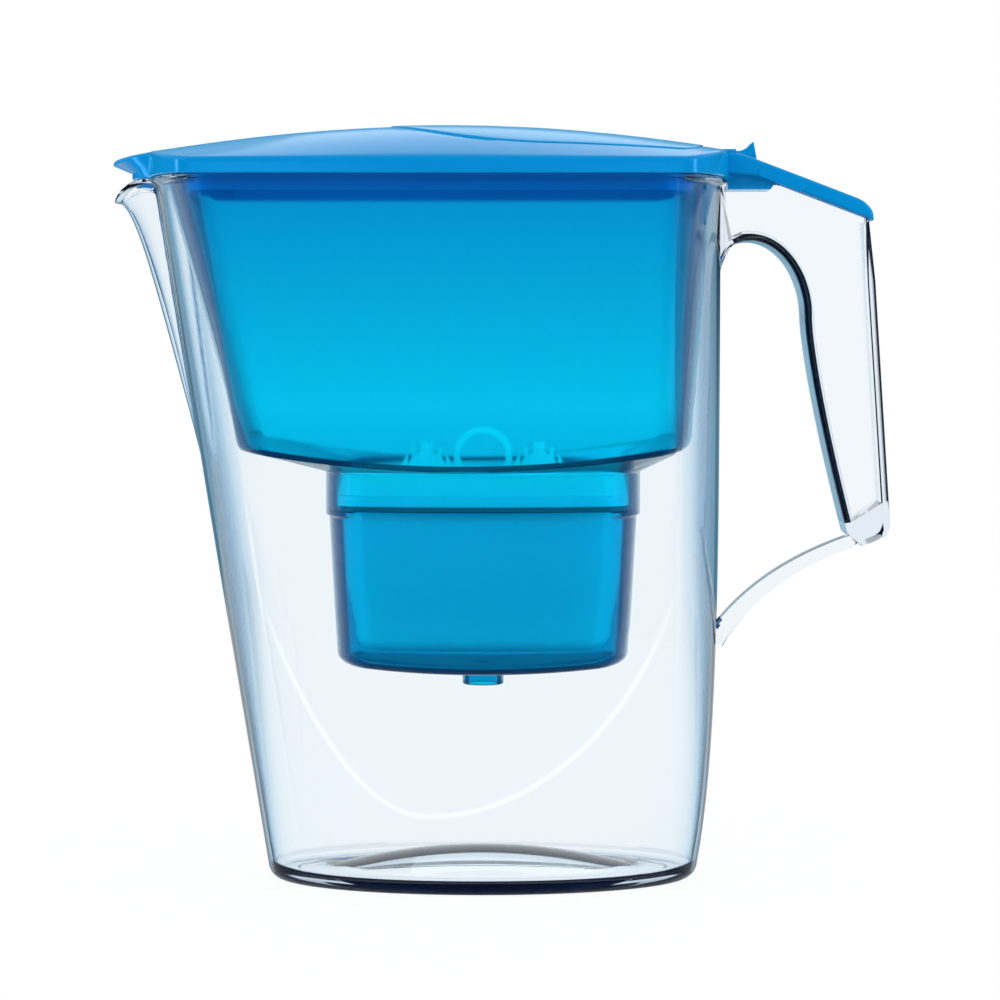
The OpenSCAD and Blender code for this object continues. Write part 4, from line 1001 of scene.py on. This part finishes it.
# the same plastic where it is thick, with its painted dark edges starting at a flatter look, or the floor and
# handle would go grey
jugBody.data.materials.append(clearSan("clearSanThick", [(0.45, "#ffffff"), (0.9, "#000000")],
                                       [(0.0, "#fbfdfe"), (0.45, "#e2f0f9"), (0.9, "#0b1730")]))
for face in jugBody.data.polygons:
    face.material_index = int(isThick(face))
dress(hopperBody, "hopperShell", "hopper", ["hopper", "cartridge_well"], tintedSan())
dress(lidBody, "lidShell", "lid", ["lid"], glossAbs("glossAbsLid", "#0483c5"))
dress(hatchBody, "hatchPlate", "hatch", ["fill_hatch"], glossAbs("glossAbsHatch", "#088bc9"))
dress(caseBody, "cartridgeCase", "cartridge", ["cartridge_housing"],
      mouldedPp("mouldedPpCase", "#eef5f7"))
dress(capBody, "cartridgeTop", "cartridge", ["cartridge_cap"],
      mouldedPp("mouldedPpCap", "#e4f4f8"))
for piece in (jugBody, hopperBody, lidBody):  # light reaches the floor and the cartridge through these
    piece.visible_shadow = False

felt = needledFelt()
innerFinishes = {"sealing_ring": softTpe(), "inlet_screen": wovenScreen(), "divider_felt": felt,
                 "outlet_screen": felt, "carbon_bed": granules("carbonGranules", "#0c0c0e", "#2c2d30", 1.0),
                 "resin_bed": granules("resinBeads", "#8a5f1e", "#d9a648", 0.8)}
for name, material in innerFinishes.items():
    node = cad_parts[name]
    node.data.materials.clear()
    node.data.materials.append(material)
print("materials set")


# floor, world and lamps

def seenStraight(tree):
    # the light path, and 1 where the eye sees a thing straight or through plastic
    light = addNode(tree, "ShaderNodeLightPath")
    return light, addNode(tree, "ShaderNodeMath", links={0: light.outputs["Is Camera Ray"],
                                                         1: light.outputs["Is Transmission Ray"]},
                          operation="MAXIMUM")


floorSpec = dict(left=-900, right=900, front=-700, rear=900, below=0.2, seenWhite=0.88, glow=1.04)


def makeFloor():
    # matt pale floor: mostly white to the eye, also through the plastic, with part of the shadow kept
    left, right, front, rear = (floorSpec[side] for side in ("left", "right", "front", "rear"))
    floor = newObject("floor", [(left, front, 0), (right, front, 0), (right, rear, 0), (left, rear, 0)],
                      [[0, 1, 2, 3]])
    floor.location.z = -floorSpec["below"] * mm
    made, tree, shader = newMaterial("paleFloor", Roughness=0.9, Base_Color=linear("#f4f4f4"),
                                     Specular_IOR_Level=0.1)
    seen = seenStraight(tree)[1]
    share = addNode(tree, "ShaderNodeMath", {1: floorSpec["seenWhite"]}, {0: seen.outputs[0]},
                    operation="MULTIPLY")
    glow = addNode(tree, "ShaderNodeEmission", {"Color": linear("#ffffff"), "Strength": floorSpec["glow"]})
    both = addNode(tree, "ShaderNodeMixShader", links={0: share.outputs[0], 1: shader.outputs[0],
                                                       2: glow.outputs[0]})
    feed(tree, tree.nodes["Material Output"], Surface=both)
    floor.data.materials.append(made)


innerWhite = dict(full=0.3, none=0.5)  # white where a direction's X is under full, fading out by none


def makeWorld():
    # plain white studio; glossy surfaces see it dim along the horizon and bright above, and what the clear
    # plastic turns about shows it white only to the front and back, which leaves thin dark outlines
    world = bpy.data.worlds.new("studio")
    bpy.context.scene.world = world
    world.use_nodes = True
    tree = world.node_tree
    tree.nodes.clear()
    place = addNode(tree, "ShaderNodeTexCoord")
    split = addNode(tree, "ShaderNodeSeparateXYZ", links={"Vector": place.outputs["Generated"]})
    rise = addNode(tree, "ShaderNodeMapRange", {"From Min": -0.1, "From Max": 0.5},
                   {"Value": split.outputs["Z"]})
    level = addNode(tree, "ShaderNodeValToRGB", links={"Fac": rise.outputs[0]})
    setRamp(level, [(0.13, "#7cb4d2"), (0.22, "#0c4c70"), (0.33, "#0c4c70"), (0.9, "#c4dae6")])
    light, seen = seenStraight(tree)
    soft = addNode(tree, "ShaderNodeMix", {7: linear("#d7d7d7")},
                   {0: light.outputs["Is Diffuse Ray"], 6: level.outputs[0]}, data_type="RGBA")
    # 1 for light that has passed through plastic, unless a matt surface sent it on
    inside = addNode(tree, "ShaderNodeMath", {1: -99.0}, {0: light.outputs["Is Diffuse Ray"],
                                                          2: light.outputs["Transmission Depth"]},
                     operation="MULTIPLY_ADD", use_clamp=True)
    aside = addNode(tree, "ShaderNodeMath", links={0: split.outputs["X"]}, operation="ABSOLUTE")
    front = addNode(tree, "ShaderNodeMapRange", {"From Min": innerWhite["full"], "To Min": 1.0,
                                                 "From Max": innerWhite["none"], "To Max": 0.0},
                    {"Value": aside.outputs[0]})
    inner = addNode(tree, "ShaderNodeMath", links={0: inside.outputs[0], 1: front.outputs[0]},
                    operation="MULTIPLY")
    white = addNode(tree, "ShaderNodeMath", links={0: seen.outputs[0], 1: inner.outputs[0]},
                    operation="MAXIMUM")
    bright = addNode(tree, "ShaderNodeMix", {7: linear("#ffffff")}, {0: white.outputs[0], 6: soft.outputs[2]},
                     data_type="RGBA")
    glow = addNode(tree, "ShaderNodeBackground", links={"Color": bright.outputs[2]})
    addNode(tree, "ShaderNodeOutputWorld", links={"Surface": glow.outputs[0]})


blueParts = ("lidShell", "hatchPlate")
colouredParts = (*blueParts, "hopperShell", "cartridgeCase", "cartridgeTop")
# a lamp with lights= reaches only those pieces, so the strips and glints draw nothing on the clear jug
lamps = dict(key=dict(place=(-900, -1100, 1300), wide=900, high=900, watts=5, aim=(0, 0, 150)),
             fill=dict(place=(1200, -800, 900), wide=900, high=900, watts=3, aim=(0, 0, 150)),
             leftStrip=dict(place=(-1150, -420, 330), wide=260, high=700, watts=6, aim=(0, 0, 200),
                            lights=colouredParts),
             rightStrip=dict(place=(1150, -520, 330), wide=260, high=700, watts=6, aim=(0, 0, 200),
                             lights=colouredParts),
             leftGlint=dict(place=(-250, -2200, 371), wide=70, high=300, watts=0.7, aim=(-100, 0, 250),
                            lights=blueParts),
             rightGlint=dict(place=(165, -2200, 371), wide=50, high=300, watts=0.4, aim=(60, 0, 250),
                             lights=blueParts),
             back=dict(place=(200, 1100, 1100), wide=900, high=900, watts=2, aim=(0, 0, 200)))
lightBounces = 24  # enough to pass both walls of jug, hopper and cartridge


def makeLamps():
    for name, lamp in lamps.items():
        data = bpy.data.lights.new(name, "AREA")
        data.shape, data.energy = "RECTANGLE", lamp["watts"]
        data.size, data.size_y = lamp["wide"] * mm, lamp["high"] * mm
        made = bpy.data.objects.new(name, data)
        made.location = Vector(lamp["place"]) * mm
        made.rotation_euler = (Vector(lamp["aim"]) * mm - made.location).to_track_quat("-Z", "Y").to_euler()
        bpy.context.scene.collection.objects.link(made)
        if "lights" in lamp:
            chosen = bpy.data.collections.new(name + "Lights")
            for piece in lamp["lights"]:
                chosen.objects.link(bpy.data.objects[piece])
            made.light_linking.receiver_collection = chosen


makeFloor()
makeWorld()
makeLamps()
bpy.context.scene.view_settings.view_transform = "Standard"
cycles = bpy.context.scene.cycles
cycles.max_bounces = cycles.transmission_bounces = cycles.glossy_bounces = lightBounces
cycles.transparent_max_bounces = 16
print("studio set")
